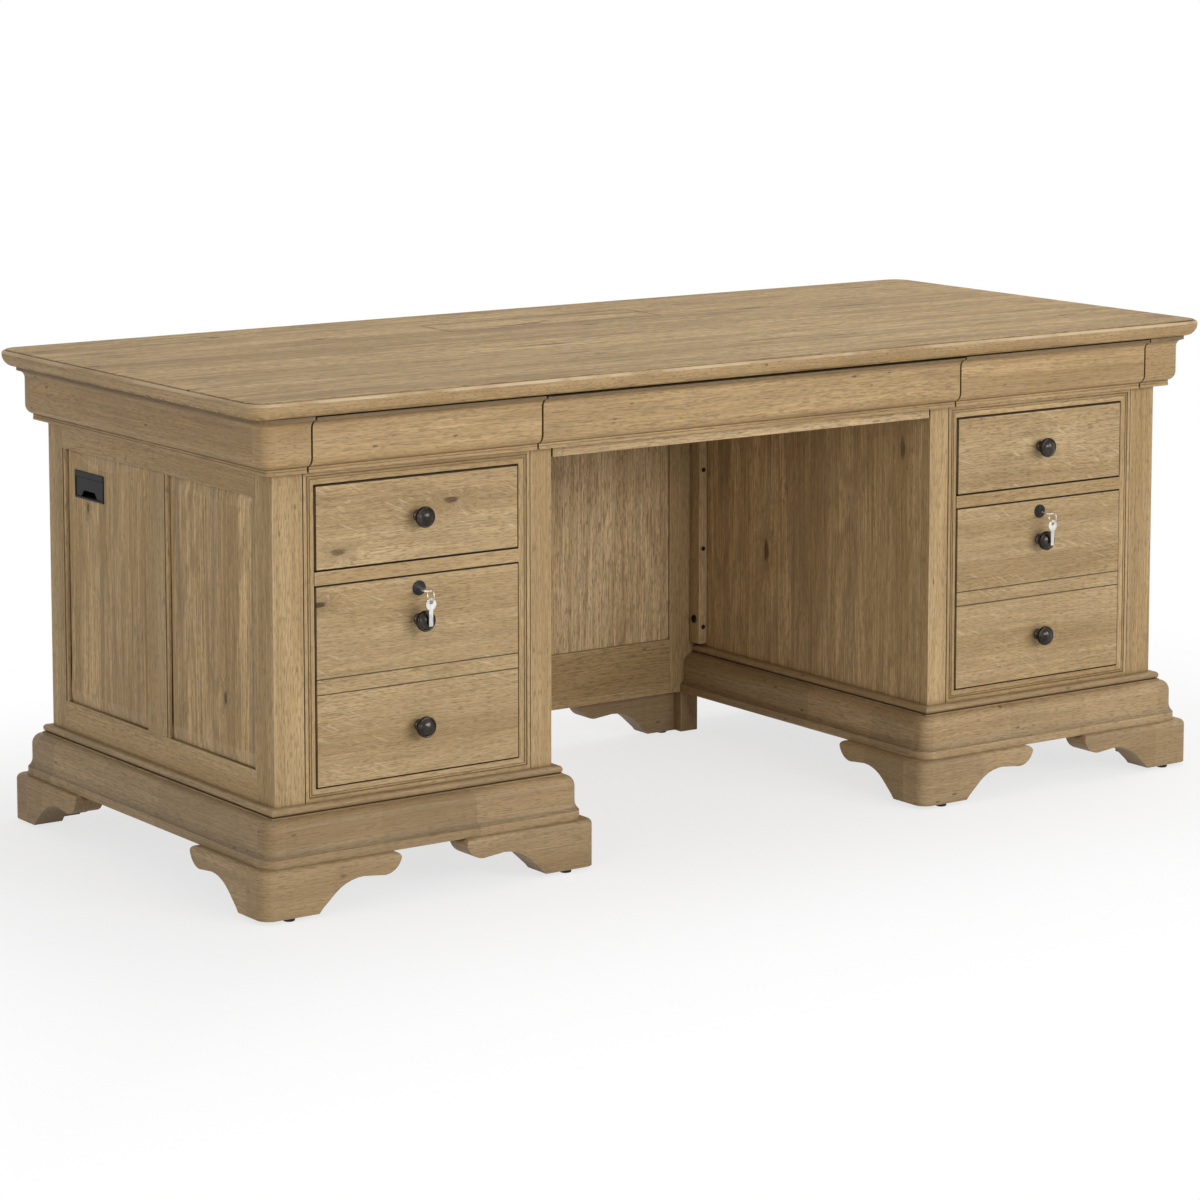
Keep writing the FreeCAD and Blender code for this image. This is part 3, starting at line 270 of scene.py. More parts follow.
def knots(g, look, along, across):
    """Knots scattered one to a cell of plank: their core, their halo, and their push on the grain."""
    cell = g.cells(g.join(along, across), "2D", KNOT_SPREAD)
    centre_u, centre_v, _ = g.split(cell["Position"])
    chance, size, _ = g.split(cell["Color"])
    run = g.times(g.minus(along, centre_u), look["knot_run"])
    rise = g.times(g.minus(across, centre_v), look["plank"])
    fray_run, fray_rise = KNOT_FRAY
    ragged = g.noise(g.join(g.times(run, fray_run), g.times(rise, fray_rise), chance), 3.0)
    squares = [g.math("POWER", side, 2.0) for side in (g.times(run, KNOT_ROUND), rise)]
    reach = g.times(g.math("SQRT", g.plus(*squares)), g.span(ragged, *KNOT_FRAY_SPAN))
    is_knot = g.math("GREATER_THAN", chance, 1.0 - look["knots"])
    radius = g.times(g.span(size, *KNOT_RADIUS), look["knot_size"])
    share = g.math("DIVIDE", reach, radius)
    core = g.times(is_knot, g.step(share, *KNOT_CORE))
    halo = g.times(is_knot, g.step(share, *KNOT_HALO))
    push = g.times(halo, g.times(g.math("SIGN", rise), KNOT_PUSH))
    return core, halo, push


def ray_flecks(g, u, v, w, cloud):
    """Pale flecks that cross the grain at a slant, in patches."""
    along, over = RAY_GRAIN
    run = g.plus(g.times(u, RAY_COS), g.times(v, -RAY_SIN))
    rise = g.plus(g.times(u, RAY_SIN), g.times(v, RAY_COS))
    slant = g.join(g.times(run, along), g.times(rise, over), g.times(w, over))
    return g.times(g.step(g.noise(slant, 1.0, 0.5, 0.6), *RAY_EDGE), g.step(cloud, *RAY_PATCH))


def specks(g, u, v, w):
    """Small dark specks, in a few of the cells of a pattern drawn out along the grain."""
    along, over = SPECK_GRAIN
    cell = g.cells(g.join(g.times(u, along), g.times(v, over), g.times(w, over)))
    picked = g.math("GREATER_THAN", g.split(cell["Color"])[0], SPECK_RARITY)
    return g.times(picked, g.step(cell["Distance"], *SPECK_EDGE))


def oak(name, **changes):
    """Oiled oak whose grain runs along the first axis of each board's own grain coordinates."""
    look = {**OAK, **changes}
    g = Graph(name)
    u, v, w = g.split(g.attribute("grain", "Vector"))
    seed = g.attribute("seed", "Fac")
    across = g.plus(g.times(v, 1.0 / look["plank"]), g.times(seed, SEED_PLANK))
    row = g.join(g.math("FLOOR", across), g.times(seed, SEED_CHANCE))
    chance = g.add("TexWhiteNoise", {"Vector": row}, noise_dimensions="2D")
    u = g.plus(u, g.plus(g.times(chance, PLANK_RUN), g.times(seed, SEED_RUN)))
    core, halo, push = knots(g, look, g.times(u, 1.0 / look["knot_run"]), across)

    wander_along, wander_over = WANDER_GRAIN
    wander = g.noise(g.join(g.times(u, wander_along), g.times(v, wander_over), g.times(w, wander_over)))
    drift = g.plus(g.times(g.minus(wander, 0.5), WANDER_REACH), push)
    v = g.plus(g.plus(v, drift), g.times(chance, PLANK_SHIFT))

    def stretched(kind):
        along, over, detail, roughness = GRAIN[kind]
        return g.noise(g.join(g.times(u, along), g.times(v, over), g.times(w, over)), detail, roughness)

    noises = {kind: stretched(kind) for kind in ("streak", "fibre", "cloud", "pore")}
    noises["ring"] = g.math("SINE", g.times(stretched("figure"), RING_PITCH))
    cloud = noises["cloud"]

    tone = g.span(chance, 1.0 - look["plank_tone"], 1.0 + look["plank_tone"])
    for kind, depth in (("streak", look["streak"]), ("fibre", look["fibre"]), ("cloud", CLOUD_TONE)):
        tone = g.times(tone, g.span(noises[kind], 1.0 - depth, 1.0 + depth))
    if look["block"]:
        block = g.join(g.math("FLOOR", g.times(u, 1.0 / look["block"])), seed)
        block = g.add("TexWhiteNoise", {"Vector": block}, noise_dimensions="2D")
        tone = g.times(tone, g.span(block, *BLOCK_TONE))
    colour = g.scale(g.mix(g.step(noises["streak"], *STREAK_EDGE), WARM, PALE), tone)
    colour = g.add("VectorMath", {0: colour, 1: look["tint"]}, operation="MULTIPLY")

    for kind, low, high, strength, shade in MARKINGS:
        if look[strength]:
            source = noises[kind] if kind in noises else stretched(kind)
            colour = g.mix(g.times(g.step(source, low, high), look[strength]), colour, shade)
    if look["rays"]:
        colour = g.mix(g.times(ray_flecks(g, u, v, w, cloud), look["rays"]), colour, BLEACHED_AND_HIGHLIGHT)
    colour = g.mix(g.times(specks(g, u, v, w), look["specks"]), colour, DARK_GLAZE_AND_SHADE)
    colour = g.mix(g.times(halo, KNOT_HALO_TONE), colour, BROWN)
    colour = g.mix(core, colour, KNOT)
    if look["joint"]:
        seam = g.step(g.math("PINGPONG", across, 0.5), *JOINT_EDGE)
        colour = g.mix(g.times(seam, look["joint"]), colour, BROWN)

    # Eased edges painted pale in patches: partly wear, partly painted highlight.
    rubbed_and_lit = g.times(g.attribute("worn", "Fac"), g.times(g.step(cloud, *WEAR_AND_HIGHLIGHT_PATCH), look["wear"]))
    colour = g.mix(rubbed_and_lit, colour, BLEACHED_AND_HIGHLIGHT)
    # Painted shade: oak darkened where nearby parts shelter it.
    shelter = g.add("AmbientOcclusion", {"Distance": SHELTER_REACH}, "AO", samples=4)
    colour = g.mix(g.times(g.step(shelter, *SHELTER_EDGE), look["shelter_shade"]), colour, BROWN)
    # Narrow crevices darken to near black: partly dark glaze in the hollows, partly painted shade in the
    # gaps between parts.
    crevice = g.add("AmbientOcclusion", {"Distance": CREVICE_REACH}, "AO", samples=5)
    crevice_darkening = g.times(g.step(crevice, *CREVICE_EDGE), CREVICE_GLAZE_AND_SHADE)
    # Faces marked as painted shade take the same near-black colour.
    colour = g.mix(g.math("MAXIMUM", crevice_darkening, g.attribute("glazed", "Fac")), colour, DARK_GLAZE_AND_SHADE)

    hollow = g.plus(g.times(noises["pore"], 0.5), g.times(core, 0.6))
    height = g.minus(g.times(noises["fibre"], 0.5), hollow)
    return g.finish(
        colour=colour,
        roughness=g.span(noises["fibre"], *OAK_ROUGHNESS),
        normal=g.bump(height, GRAIN_BUMP, GRAIN_DEPTH),
        specular=look["gloss"],
    )


METAL_MOTTLE = 90.0
METAL_SCUFF = 1400.0
METAL_EDGE = (0.35, 0.70)
METAL_SMOOTHER = 0.05
METAL_ROUGHER = 0.07
METAL_BUMP = (0.05, 0.0001)
PLASTIC_CLOUD = 60.0
PLASTIC_GRIT = 1800.0
PLASTIC_ROUGHNESS = (0.42, 0.62)
PLASTIC_BUMP = (0.2, 0.0002)
PLASTIC_GLOSS = 0.2


def metal(name, dark, light, roughness, metallic=1.0):
    """Plated or oxidised metal with a softly mottled, lightly scuffed skin."""
    g = Graph(name)
    place = g.add("TexCoord", {}, "Object")
    mottle = g.noise(g.scale(place, METAL_MOTTLE))
    scuff = g.noise(g.scale(place, METAL_SCUFF))
    return g.finish(
        colour=g.mix(g.step(mottle, *METAL_EDGE), dark, light),
        roughness=g.span(mottle, roughness - METAL_SMOOTHER, roughness + METAL_ROUGHER),
        metallic=metallic,
        normal=g.bump(scuff, *METAL_BUMP),
    )


def plastic(name, dark, light):
    """Moulded plastic with a fine spark-eroded texture."""
    g = Graph(name)
    place = g.add("TexCoord", {}, "Object")
    fine = g.noise(g.scale(place, PLASTIC_GRIT))
    broad = g.noise(g.scale(place, PLASTIC_CLOUD))
    return g.finish(
        colour=g.mix(broad, dark, light),
        roughness=g.span(fine, *PLASTIC_ROUGHNESS),
        normal=g.bump(fine, *PLASTIC_BUMP),
        specular=PLASTIC_GLOSS,
    )


TOP_TINT = (1.02, 0.965, 0.81)
FRIEZE_TINT = (0.87, 0.81, 0.70)
FRAME_TINT = (0.94, 0.91, 0.84)
PANEL_TINT = (1.10, 1.05, 0.94)
DRAWER_TINT = (0.93, 0.92, 0.88)
PLINTH_TINT = (0.76, 0.73, 0.69)
KNEE_TINT = (1.05, 1.02, 0.96)
# The modesty panel is paler oak, and is brightened further as painted light in the shaded kneehole.
MODESTY_TINT_AND_LIGHT = (1.43, 1.46, 1.56)
VENEER = {"fibre": 0.95, "pores": 0.40, "dashes": 0.50, "rings": 0.40, "lines": 0.60, "plank_tone": 0.14}
FIGURED = {
    "fibre": 1.1, "pores": 0.6, "dashes": 0.8, "streak": 0.40, "bands": 0.30, "gloss": 0.12,
    "rings": 0.24, "cracks": 0.75, "lines": 0.45, "plank_tone": 0.10,
}
CALM = {**VENEER, "fibre": 0.65, "lines": 0.22, "plank_tone": 0.06, "rings": 0.25}
LIVELY = {**VENEER, "lines": 0.40, "knot_size": 1.7}
SATIN = {"gloss": 0.35, "specks": 0.7, "smudge": 0.42, "wear": 0.8}
MATERIALS = {
    "top_oak": oak("top_oak", plank=0.105, joint=0.3, knots=0.45, knot_size=1.5, tint=TOP_TINT,
                   **FIGURED),
    "frieze_oak": oak("frieze_oak", plank=0.3, plank_tone=0.03, knots=0.06, tint=FRIEZE_TINT, **SATIN),
    "frame_oak": oak("frame_oak", plank=0.2, plank_tone=0.05, knots=0.04, specks=0.5, tint=FRAME_TINT),
    "moulding_oak": oak("moulding_oak", plank=0.2, plank_tone=0.04, knots=0.0, wear=0.7, tint=FRAME_TINT),
    "panel_oak": oak("panel_oak", plank=0.085, joint=0.2, knots=0.16, bands=0.85, tint=PANEL_TINT,
                     **VENEER),
    "drawer_oak": oak("drawer_oak", plank=0.062, plank_tone=0.06, knots=0.11, knot_run=0.22, rays=0.55,
                      bands=0.10, rings=0.20, pores=0.45, dashes=0.40, tint=DRAWER_TINT),
    "plinth_oak": oak("plinth_oak", plank=0.3, plank_tone=0.04, knots=0.05, block=0.17, tint=PLINTH_TINT,
                      **SATIN),
    "inner_wood": oak("inner_wood", plank=0.2, plank_tone=0.05, knots=0.0, specks=0.2, wear=0.2),
    "slide_steel": metal("slide_steel", rgb(0.42, 0.43, 0.44), rgb(0.62, 0.63, 0.64), 0.34),
    "knob_bronze": metal("knob_bronze", rgb(0.036, 0.031, 0.027), rgb(0.064, 0.056, 0.049), 0.24),
    "lock_black": metal("lock_black", rgb(0.010, 0.010, 0.011), rgb(0.028, 0.028, 0.030), 0.38, 0.6),
    "key_nickel": metal("key_nickel", rgb(0.56, 0.55, 0.52), rgb(0.80, 0.79, 0.76), 0.24),
    "fastener_black": metal("fastener_black", rgb(0.015, 0.014, 0.013), rgb(0.045, 0.042, 0.038), 0.42),
    "grommet_plastic": plastic("grommet_plastic", rgb(0.009, 0.009, 0.009), rgb(0.016, 0.016, 0.016)),
    "glide_plastic": plastic("glide_plastic", rgb(0.012, 0.012, 0.012), rgb(0.022, 0.022, 0.022)),
}

# Looks of single nodes that differ from the rest of their slot.
NODE_MATERIALS = {
    "modesty_panel": oak("modesty_oak", plank=0.16, knots=0.2, bands=0.35, tint=MODESTY_TINT_AND_LIGHT, **CALM),
    "inner_sides": oak("knee_oak", plank=0.12, joint=0.3, knots=0.3, bands=0.6, rays=0.35, tint=KNEE_TINT,
                       **LIVELY),
}


# Meshes: solids read from the nodes, boards with eased edges, moulded strips and turned pieces.


def solids(node):
    """The closed solids of a node: its triangles in order, cut wherever no edge is left open."""
    mesh = NODES[node].data
    found = []
    faces = []
    open_edges = collections.Counter()
    for polygon in mesh.polygons:
        corners = [tuple(round(c, 6) for c in mesh.vertices[i].co) for i in polygon.vertices]
        faces.append(corners)
        for a, b in zip(corners, corners[1:] + corners[:1]):
            if a == b:
                continue
            if open_edges[b, a]:
                open_edges[b, a] -= 1
            else:
                open_edges[a, b] += 1
        if not +open_edges:
            found.append(faces)
            faces = []
            open_edges.clear()
    return found


def extent(faces):
    """Lowest and highest corner of a solid."""
    points = [corner for face in faces for corner in face]
    low = Vector(min(p[axis] for p in points) for axis in (X, Y, Z))
    high = Vector(max(p[axis] for p in points) for axis in (X, Y, Z))
    return low, high


def grain_axes(low, high, along=None):
    """Axes of a board: along its grain, across its width, through its thickness."""
    size = high - low
    if along is None:
        along = max((X, Y, Z), key=lambda axis: size[axis])
    across = max((axis for axis in (X, Y, Z) if axis != along), key=lambda axis: size[axis])
    through = next(axis for axis in (X, Y, Z) if axis not in (along, across))
    return along, across, through


# Face marks: eased edges painted pale as wear and highlight, and faces painted as shade.
MARKS = ("worn", "glazed")
EASE_STEPS = 2


class Piece:
    """A mesh under construction that takes boards one after another."""

    def __init__(self, name):
        self.name = name
        self.bm = bmesh.new()
        self.grain = self.bm.verts.layers.float_vector.new("grain")
        self.seed = self.bm.verts.layers.float.new("seed")
        self.marks = {name: self.bm.faces.layers.float.new(name) for name in MARKS}

    def add_board(self, faces, along, bevel, seed=None, anchor=None, shape=None, eased=None, mark=None,
                  grain=None):
        """Adds one solid: flat faces merged, convex edges eased, grain coordinates written.

        A shape function may change the board first, an eased function picks the edges to ease, and a mark
        function names the look of each eased face. A grain function gives the grain coordinates of a
        vertex where they aren't the plain axes of the board.
        """
        board = bmesh.new()
        corners = {}
        for face in faces:
            for corner in face:
                if corner not in corners:
                    corners[corner] = board.verts.new(corner)
            ring = [corners[corner] for corner in face]
            if len(set(ring)) == len(ring):
                board.faces.new(ring)
        bmesh.ops.dissolve_limit(board, angle_limit=FLAT, verts=board.verts, edges=board.edges)
        marks = {name: board.faces.layers.float.new(name) for name in MARKS}
        if shape:
            shape(board, marks)
        edges = [e for e in board.edges if e.is_manifold and e.calc_face_angle_signed(0.0) > SHARP]
        if eased:
            edges = [e for e in edges if eased(e)]
        made = bmesh.ops.bevel(
            board, geom=edges, offset=bevel, offset_type="OFFSET", segments=EASE_STEPS, profile=0.5,
            affect="EDGES", clamp_overlap=True,
        )
        for face in made["faces"]:
            face[marks[mark(face) if mark else "worn"]] = 1.0
        low, high = extent(faces)
        self.absorb(board, grain or grain_axes(low, high, along), anchor or (low + high) / 2, seed)

    def absorb(self, board, axes, anchor, seed=None):
        """Copies a finished board into the piece with its grain coordinates."""
        if seed is None:
            seed = draw.random()
        marks = {name: board.faces.layers.float.get(name) for name in MARKS}
        copies = {}
        for vert in board.verts:
            copy = self.bm.verts.new(vert.co)
            if callable(axes):
                copy[self.grain] = axes(vert)
            else:
                copy[self.grain] = Vector(vert.co[axis] - anchor[axis] for axis in axes)
            copy[self.seed] = seed
            copies[vert] = copy
        for face in board.faces:
            copy = self.bm.faces.new([copies[vert] for vert in face.verts])
            for name, layer in marks.items():
                copy[self.marks[name]] = face[layer] if layer else 0.0
        board.free()

    def place(self, node, smooth=SHARP, material=None):
        """Makes the object, which rides with the node's body and stands for the node."""
        bmesh.ops.recalc_face_normals(self.bm, faces=self.bm.faces)
        mesh = bpy.data.meshes.new(self.name)
        self.bm.to_mesh(mesh)
        self.bm.free()
        mesh.polygons.foreach_set("use_smooth", [True] * len(mesh.polygons))
        mesh.set_sharp_from_angle(angle=smooth)
        mesh.materials.append(material or MATERIALS[SLOT_OF[node]])
        item = bpy.data.objects.new(self.name, mesh)
        bpy.context.scene.collection.objects.link(item)
        normals = item.modifiers.new("even_normals", "WEIGHTED_NORMAL")
        normals.keep_sharp = True
        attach(item, BODY_OF[node])
        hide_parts(node)
        return item


def skin(board, rings):
    """Joins a list of rings of points with quads, and leaves both ends open."""
    loops = [[board.verts.new(point) for point in ring] for ring in rings]
    for first, second in zip(loops, loops[1:]):
        count = len(first)
        for i in range(count):
            j = (i + 1) % count
            board.faces.new((first[i], first[j], second[j], second[i]))
    return loops


def strip(outer, inner, outward, profile):
    """A straight moulding between two mitred ends.

    outer and inner hold the start and end points of its two long edges. The profile gives, across the
    strip from outer to inner, each point's share of the width and its height along the outward direction.
    """
    board = bmesh.new()
    ends = []
    for start_outer, start_inner in zip(outer, inner):
        ends.append([
            Vector(start_outer).lerp(Vector(start_inner), share) + Vector(outward) * height
            for share, height in profile
        ])
    first, last = skin(board, ends)
    board.faces.new(first[::-1])
    board.faces.new(last)
    return board


TURN_STEPS = 40


def lathe(profile, centre, axis):
    """A turned piece: profile points are (radius, distance along the axis)."""
    board = bmesh.new()
    axis = Vector(axis)
    side = axis.orthogonal().normalized()
    other = axis.cross(side)
    turn = [2 * math.pi * i / TURN_STEPS for i in range(TURN_STEPS)]
    rings = []
    for radius, along in profile:
        rings.append([
            Vector(centre) + axis * along + (side * math.cos(a) + other * math.sin(a)) * radius
            for a in turn
        ])
    loops = skin(board, rings)
    board.faces.new(loops[0][::-1])
    board.faces.new(loops[-1])
    return board


def arc(centre, radius, start, end, steps):
    """Points of a circular arc in a profile, angles in degrees."""
    angles = [math.radians(start + (end - start) * i / steps) for i in range(steps + 1)]
    return [(centre[0] + radius * math.cos(a), centre[1] + radius * math.sin(a)) for a in angles]


# The boards: how far their edges are eased, in millimetres, and which nodes share a treatment.

PLAIN_EASE = 0.5
EASED = {
    "left_front_posts": 1.2, "right_front_posts": 1.2, "left_side_frame": 0.8, "right_side_frame": 0.8,
    "left_face_rails": 0.7, "right_face_rails": 0.7, "left_box_front": 1.3, "right_box_front": 1.3,
    "left_file_front": 1.3, "right_file_front": 1.3, "bracket_feet": 1.6, "left_plinth": 1.0,
    "right_plinth": 1.0, "modesty_cleats": 1.5, "modesty_frame": 1.2, "frieze_front_corners": 1.0,
    "frieze_sides": 1.0, "frieze_back": 1.0, "left_frieze_front": 1.0, "right_frieze_front": 1.0,
    "centre_front": 1.0,
}
UPRIGHT_GRAIN = ("modesty_panel", "inner_sides", "back_panels", "side_panels")
BOARDS = [
    "frieze_front_corners", "frieze_sides", "frieze_back", "left_frieze_front", "right_frieze_front",
    "centre_front", "left_front_posts", "right_front_posts", "left_face_rails", "right_face_rails",
    "left_side_frame", "right_side_frame", "pedestal_backs", "modesty_frame", "side_panels",
    "back_panels", "modesty_panel", "inner_sides", "left_box_front", "right_box_front", "left_file_front",
    "right_file_front", "left_plinth", "right_plinth", "bracket_feet", "case_boards", "wire_tray",
    "left_frieze_tray", "right_frieze_tray", "centre_tray", "left_box_tray", "right_box_tray",
    "left_file_tray", "right_file_tray", "foot_blocks", "modesty_cleats", "cable_grommet", "grommet_flap",
    "cabinet_slides", "left_box_slides", "right_box_slides", "left_file_slides", "right_file_slides",
]
# Drawer fronts whose eased outer edges are painted shade, which widens the dark gaps round them.
DARK_EDGED = ("left_box_front", "right_box_front", "left_file_front", "right_file_front")
# Frieze fronts whose eased ends are painted shade, which widens the dark gaps between them.
DARK_ENDED = ("left_frieze_front", "right_frieze_front", "centre_front", "frieze_front_corners")
STANDING = (
    "left_front_posts", "right_front_posts", "left_face_rails", "right_face_rails", "left_side_frame",
    "right_side_frame", "pedestal_backs", "inner_sides",
)
PLINTHS = ("left_plinth", "right_plinth")
FIELDED = ("side_panels", "back_panels")
WRAPPED = ("left_plinth", "right_plinth", "bracket_feet", "frieze_front_corners")
SEAM = 0.2 * MM
FIELD_RISE = 2.5 * MM
FIELD_ENDS = 22 * MM
FIELD_SIDES = 9 * MM
FIELD_WEAR_AND_HIGHLIGHT = 0.5
LEVEL = 0.98
UPRIGHT = 0.02
COVE_FOOT = 13 * MM
COVE_HEIGHT = 15 * MM
COVE_SHADE_STRENGTH = 0.45
FRIEZE_SHADE = 13 * MM
FRIEZE_SHADOW_STRENGTH = 0.75
FRIEZE_UPRIGHT = 0.9
END_REACH = 2.5 * MM
GROOVE_SHALLOW = 0.7 * MM
GROOVE_REACH = 5 * MM
GROOVE_SHADE_STRENGTH = 0.8
DUST_BOARD = 4 * MM


def near(value, target, reach=SEAM):
    return abs(value - target) < reach


def keep_contact(level):
    """Picks the edges to ease, without those that stand on or carry a neighbour at one height."""
    return lambda edge: not all(near(vert.co.z, level) for vert in edge.verts)


def mark_ends(low, high):
    """Painted shade on the eased ends of a moulded front, to darken the gaps beside it; elsewhere pale
    edges, painted as wear and highlight.
    """
    def name(face):
        x = face.calc_center_median().x
        return "glazed" if near(x, low.x, END_REACH) or near(x, high.x, END_REACH) else "worn"
    return name


def wrapped(low, high):
    """Grain that runs along the front of a board and on round its rounded corners."""
    middle = (low.x + high.x) / 2

    def place(vert):
        turned = vert.co.y - low.y
        return Vector((vert.co.x + (turned if vert.co.x > middle else -turned), vert.co.z, 0.0))
    return place


def raise_field(low, high):
    """Gives the outer face of a panel a raised field with a sloped border."""
    through = min((X, Y), key=lambda axis: high[axis] - low[axis])
    wide = Y if through == X else X
    outward = 1.0 if low[through] + high[through] > 0 else -1.0
    face = high[through] if outward > 0 else low[through]

    def shape(board, marks):
        for axis, border in ((Z, FIELD_ENDS), (wide, FIELD_SIDES)):
            for start, step in ((low, border), (high, -border)):
                point = Vector((0, 0, 0))
                point[axis] = start[axis] + step
                normal = Vector((0, 0, 0))
                normal[axis] = 1.0
                everything = board.verts[:] + board.edges[:] + board.faces[:]
                bmesh.ops.bisect_plane(board, geom=everything, plane_co=point, plane_no=normal)
        for vert in board.verts:
            edge = any(near(vert.co[a], end[a]) for a in (Z, wide) for end in (low, high))
            if edge and near(vert.co[through], face):
                vert.co[through] -= outward * FIELD_RISE
        board.normal_update()
        # The sloped border is painted pale, partly as wear and partly as highlight.
        for item in board.faces:
            centre = item.calc_center_median()
            sloped = UPRIGHT < abs(item.normal[Z]) < LEVEL
            if sloped and near(centre[through], face, FIELD_RISE):
                item[marks["worn"]] = FIELD_WEAR_AND_HIGHLIGHT
    return shape


def shade_top(high):
    """Painted shadow under the lipping at the top of a frieze, thinning out downwards."""
    def shape(board, marks):
        for face in board.faces:
            share = (high.z - face.calc_center_median().z) / FRIEZE_SHADE
            if share < 1.0 and abs(face.normal.z) < FRIEZE_UPRIGHT:
                face[marks["glazed"]] = FRIEZE_SHADOW_STRENGTH * (1.0 - share)
    return shape


def shade_cove(low):
    """Painted shade in the hollow above the bottom fillet of a plinth, thinning out upwards."""
    def shape(board, marks):
        for face in board.faces:
            share = (face.calc_center_median().z - low.z - COVE_FOOT) / COVE_HEIGHT
            if 0.0 < share < 1.0:
                face[marks["glazed"]] = COVE_SHADE_STRENGTH * (1.0 - share)
    return shape


def fill_grooves(low):
    """Raises the bottoms of the scored lines on a drawer front, so that they stay fine, and paints shade
    into them.
    """
    def shape(board, marks):
        for vert in board.verts:
            if SEAM < vert.co.y - low.y < GROOVE_REACH:
                vert.co.y = low.y + GROOVE_SHALLOW
        for face in board.faces:
            if near(face.calc_center_median().y, low.y + GROOVE_SHALLOW):
                face[marks["glazed"]] = GROOVE_SHADE_STRENGTH
    return shape


def outer_only(low, high):
    """Picks the edges that lie on the outline of a drawer front."""
    return lambda edge: any(
        all(near(vert.co[axis], end[axis]) for vert in edge.verts)
        for axis in (X, Z) for end in (low, high)
    )


# Every eased face is painted shade.
def all_painted_shade(_):
    return "glazed"


def board_rules(node, low, high):
    """How one board of a node departs from a plain board whose eased edges are painted pale, as wear and
    as highlight.
    """
    node_low, node_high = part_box(node)
    rules = {}
    if node in STANDING:
        rules["eased"] = keep_contact(node_low.z)
    if node in PLINTHS:
        rules["eased"] = keep_contact(node_high.z)
        rules["shape"] = shade_cove(node_low)
    if node in DARK_EDGED:
        rules["eased"] = outer_only(low, high)
        rules["mark"] = all_painted_shade
        rules["shape"] = fill_grooves(low)
    if node in DARK_ENDED:
        rules["mark"] = mark_ends(low, high)
    if node in WRAPPED and high.x - low.x > high.y - low.y:
        rules["grain"] = wrapped(low, high)
    if SLOT_OF[node] == "frieze_oak":
        rules["shape"] = shade_top(node_high)
    if node in FIELDED:
        rules["shape"] = raise_field(low, high)
    return rules


def make_boards():
    for node in BOARDS:
        piece = Piece(f"{node}_finished")
        along = Z if node in UPRIGHT_GRAIN else None
        bevel = EASED.get(node, PLAIN_EASE) * MM
        for faces in solids(node):
            piece.add_board(faces, along, bevel, **board_rules(node, *extent(faces)))
        if node in PLINTHS:
            add_dust_board(piece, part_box(node)[1].z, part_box(node.replace("plinth", "front_posts")))
        piece.place(node, material=NODE_MATERIALS.get(node))


def add_dust_board(piece, top, posts):
    """A thin floor under the pedestal that closes it below its drawers."""
    low, high = posts
    board = bmesh.new()
    bmesh.ops.create_cube(board, size=1.0)
    for vert in board.verts:
        vert.co = Vector((
            low.x if vert.co.x < 0 else high.x,
            low.y if vert.co.y < 0 else -low.y,
            top - DUST_BOARD if vert.co.z < 0 else top,
        ))
    piece.absorb(board, (X, Y, Z), low)


# The top: a veneered slab with a hatch opening, a solid lipping with the nose round it, and the lid.

TOP_SEED = 0.37
LIP_SEED = 0.61
TOP_ARRIS = 4 * MM
ARRIS_STEPS = 5
TOP_NOSE = 20 * MM
NOSE_STEPS = 16
LIP_INSET = 6.0 * MM
LIP_DROP = 1.8 * MM
LIP_GAP = 0.3 * MM
PANEL_EASE = 0.6 * MM
CORNER_STEPS = 18
HATCH_EASE = 2.2 * MM
HATCH_RIM = 2.5 * MM
RIM_SHADE_STRENGTH = 0.75
WELD = 0.001 * MM


def rounded_ring(low, high, corner, inset, z):
    """Plan outline of the top drawn in by an inset, at one height."""
    radius = corner - inset
    points = []
    quarters = (
        (high.x - corner, low.y + corner, -90), (high.x - corner, high.y - corner, 0),
        (low.x + corner, high.y - corner, 90), (low.x + corner, low.y + corner, 180),
    )
    for x, y, start in quarters:
        points += [(px, py, z) for px, py in arc((x, y), radius, start, start + 90, CORNER_STEPS)]
    return points


def plate(board, loops, hole_low, hole_high):
    """Closes a skin of plan rings with a bottom and a top that have a rectangular opening.

    A narrow rim round the opening is a ring of faces of its own, returned to take painted shade.
    """
    def plan(grown):
        left, front = hole_low.x - grown, hole_low.y - grown
        right, back = hole_high.x + grown, hole_high.y + grown
        return (left, front), (right, front), (right, back), (left, back)

    holes = []
    rims = []
    for loop in (loops[0], loops[-1]):
        level = loop[0].co.z
        holes.append([board.verts.new((x, y, level)) for x, y in plan(0.0)])
        rims.append([board.verts.new((x, y, level)) for x, y in plan(HATCH_RIM)])
    glazed = []
    for i in range(4):
        j = (i + 1) % 4
        board.faces.new((holes[0][i], holes[1][i], holes[1][j], holes[0][j]))
        for hole, rim in zip(holes, rims):
            glazed.append(board.faces.new((hole[i], hole[j], rim[j], rim[i])))
    for outline, opening in ((loops[0], rims[0]), (loops[-1], rims[1])):
        edges = []
        for ring in (outline, opening):
            pairs = zip(ring, ring[1:] + ring[:1])
            edges += [board.edges.get(pair) or board.edges.new(pair) for pair in pairs]
        bmesh.ops.triangle_fill(board, edges=edges, use_beauty=True)
    return glazed


def on_lipping(low, high, corner):
    """Picks the points within the lipping's width of the rounded plan outline of the top."""
    def picks(centre):
        x = max(low.x + corner - centre.x, centre.x - high.x + corner)
        y = max(low.y + corner - centre.y, centre.y - high.y + corner)
        reach = math.hypot(max(x, 0.0), max(y, 0.0)) + min(max(x, y), 0.0)
        return corner - reach < LIP_INSET + LIP_GAP / 2
    return picks


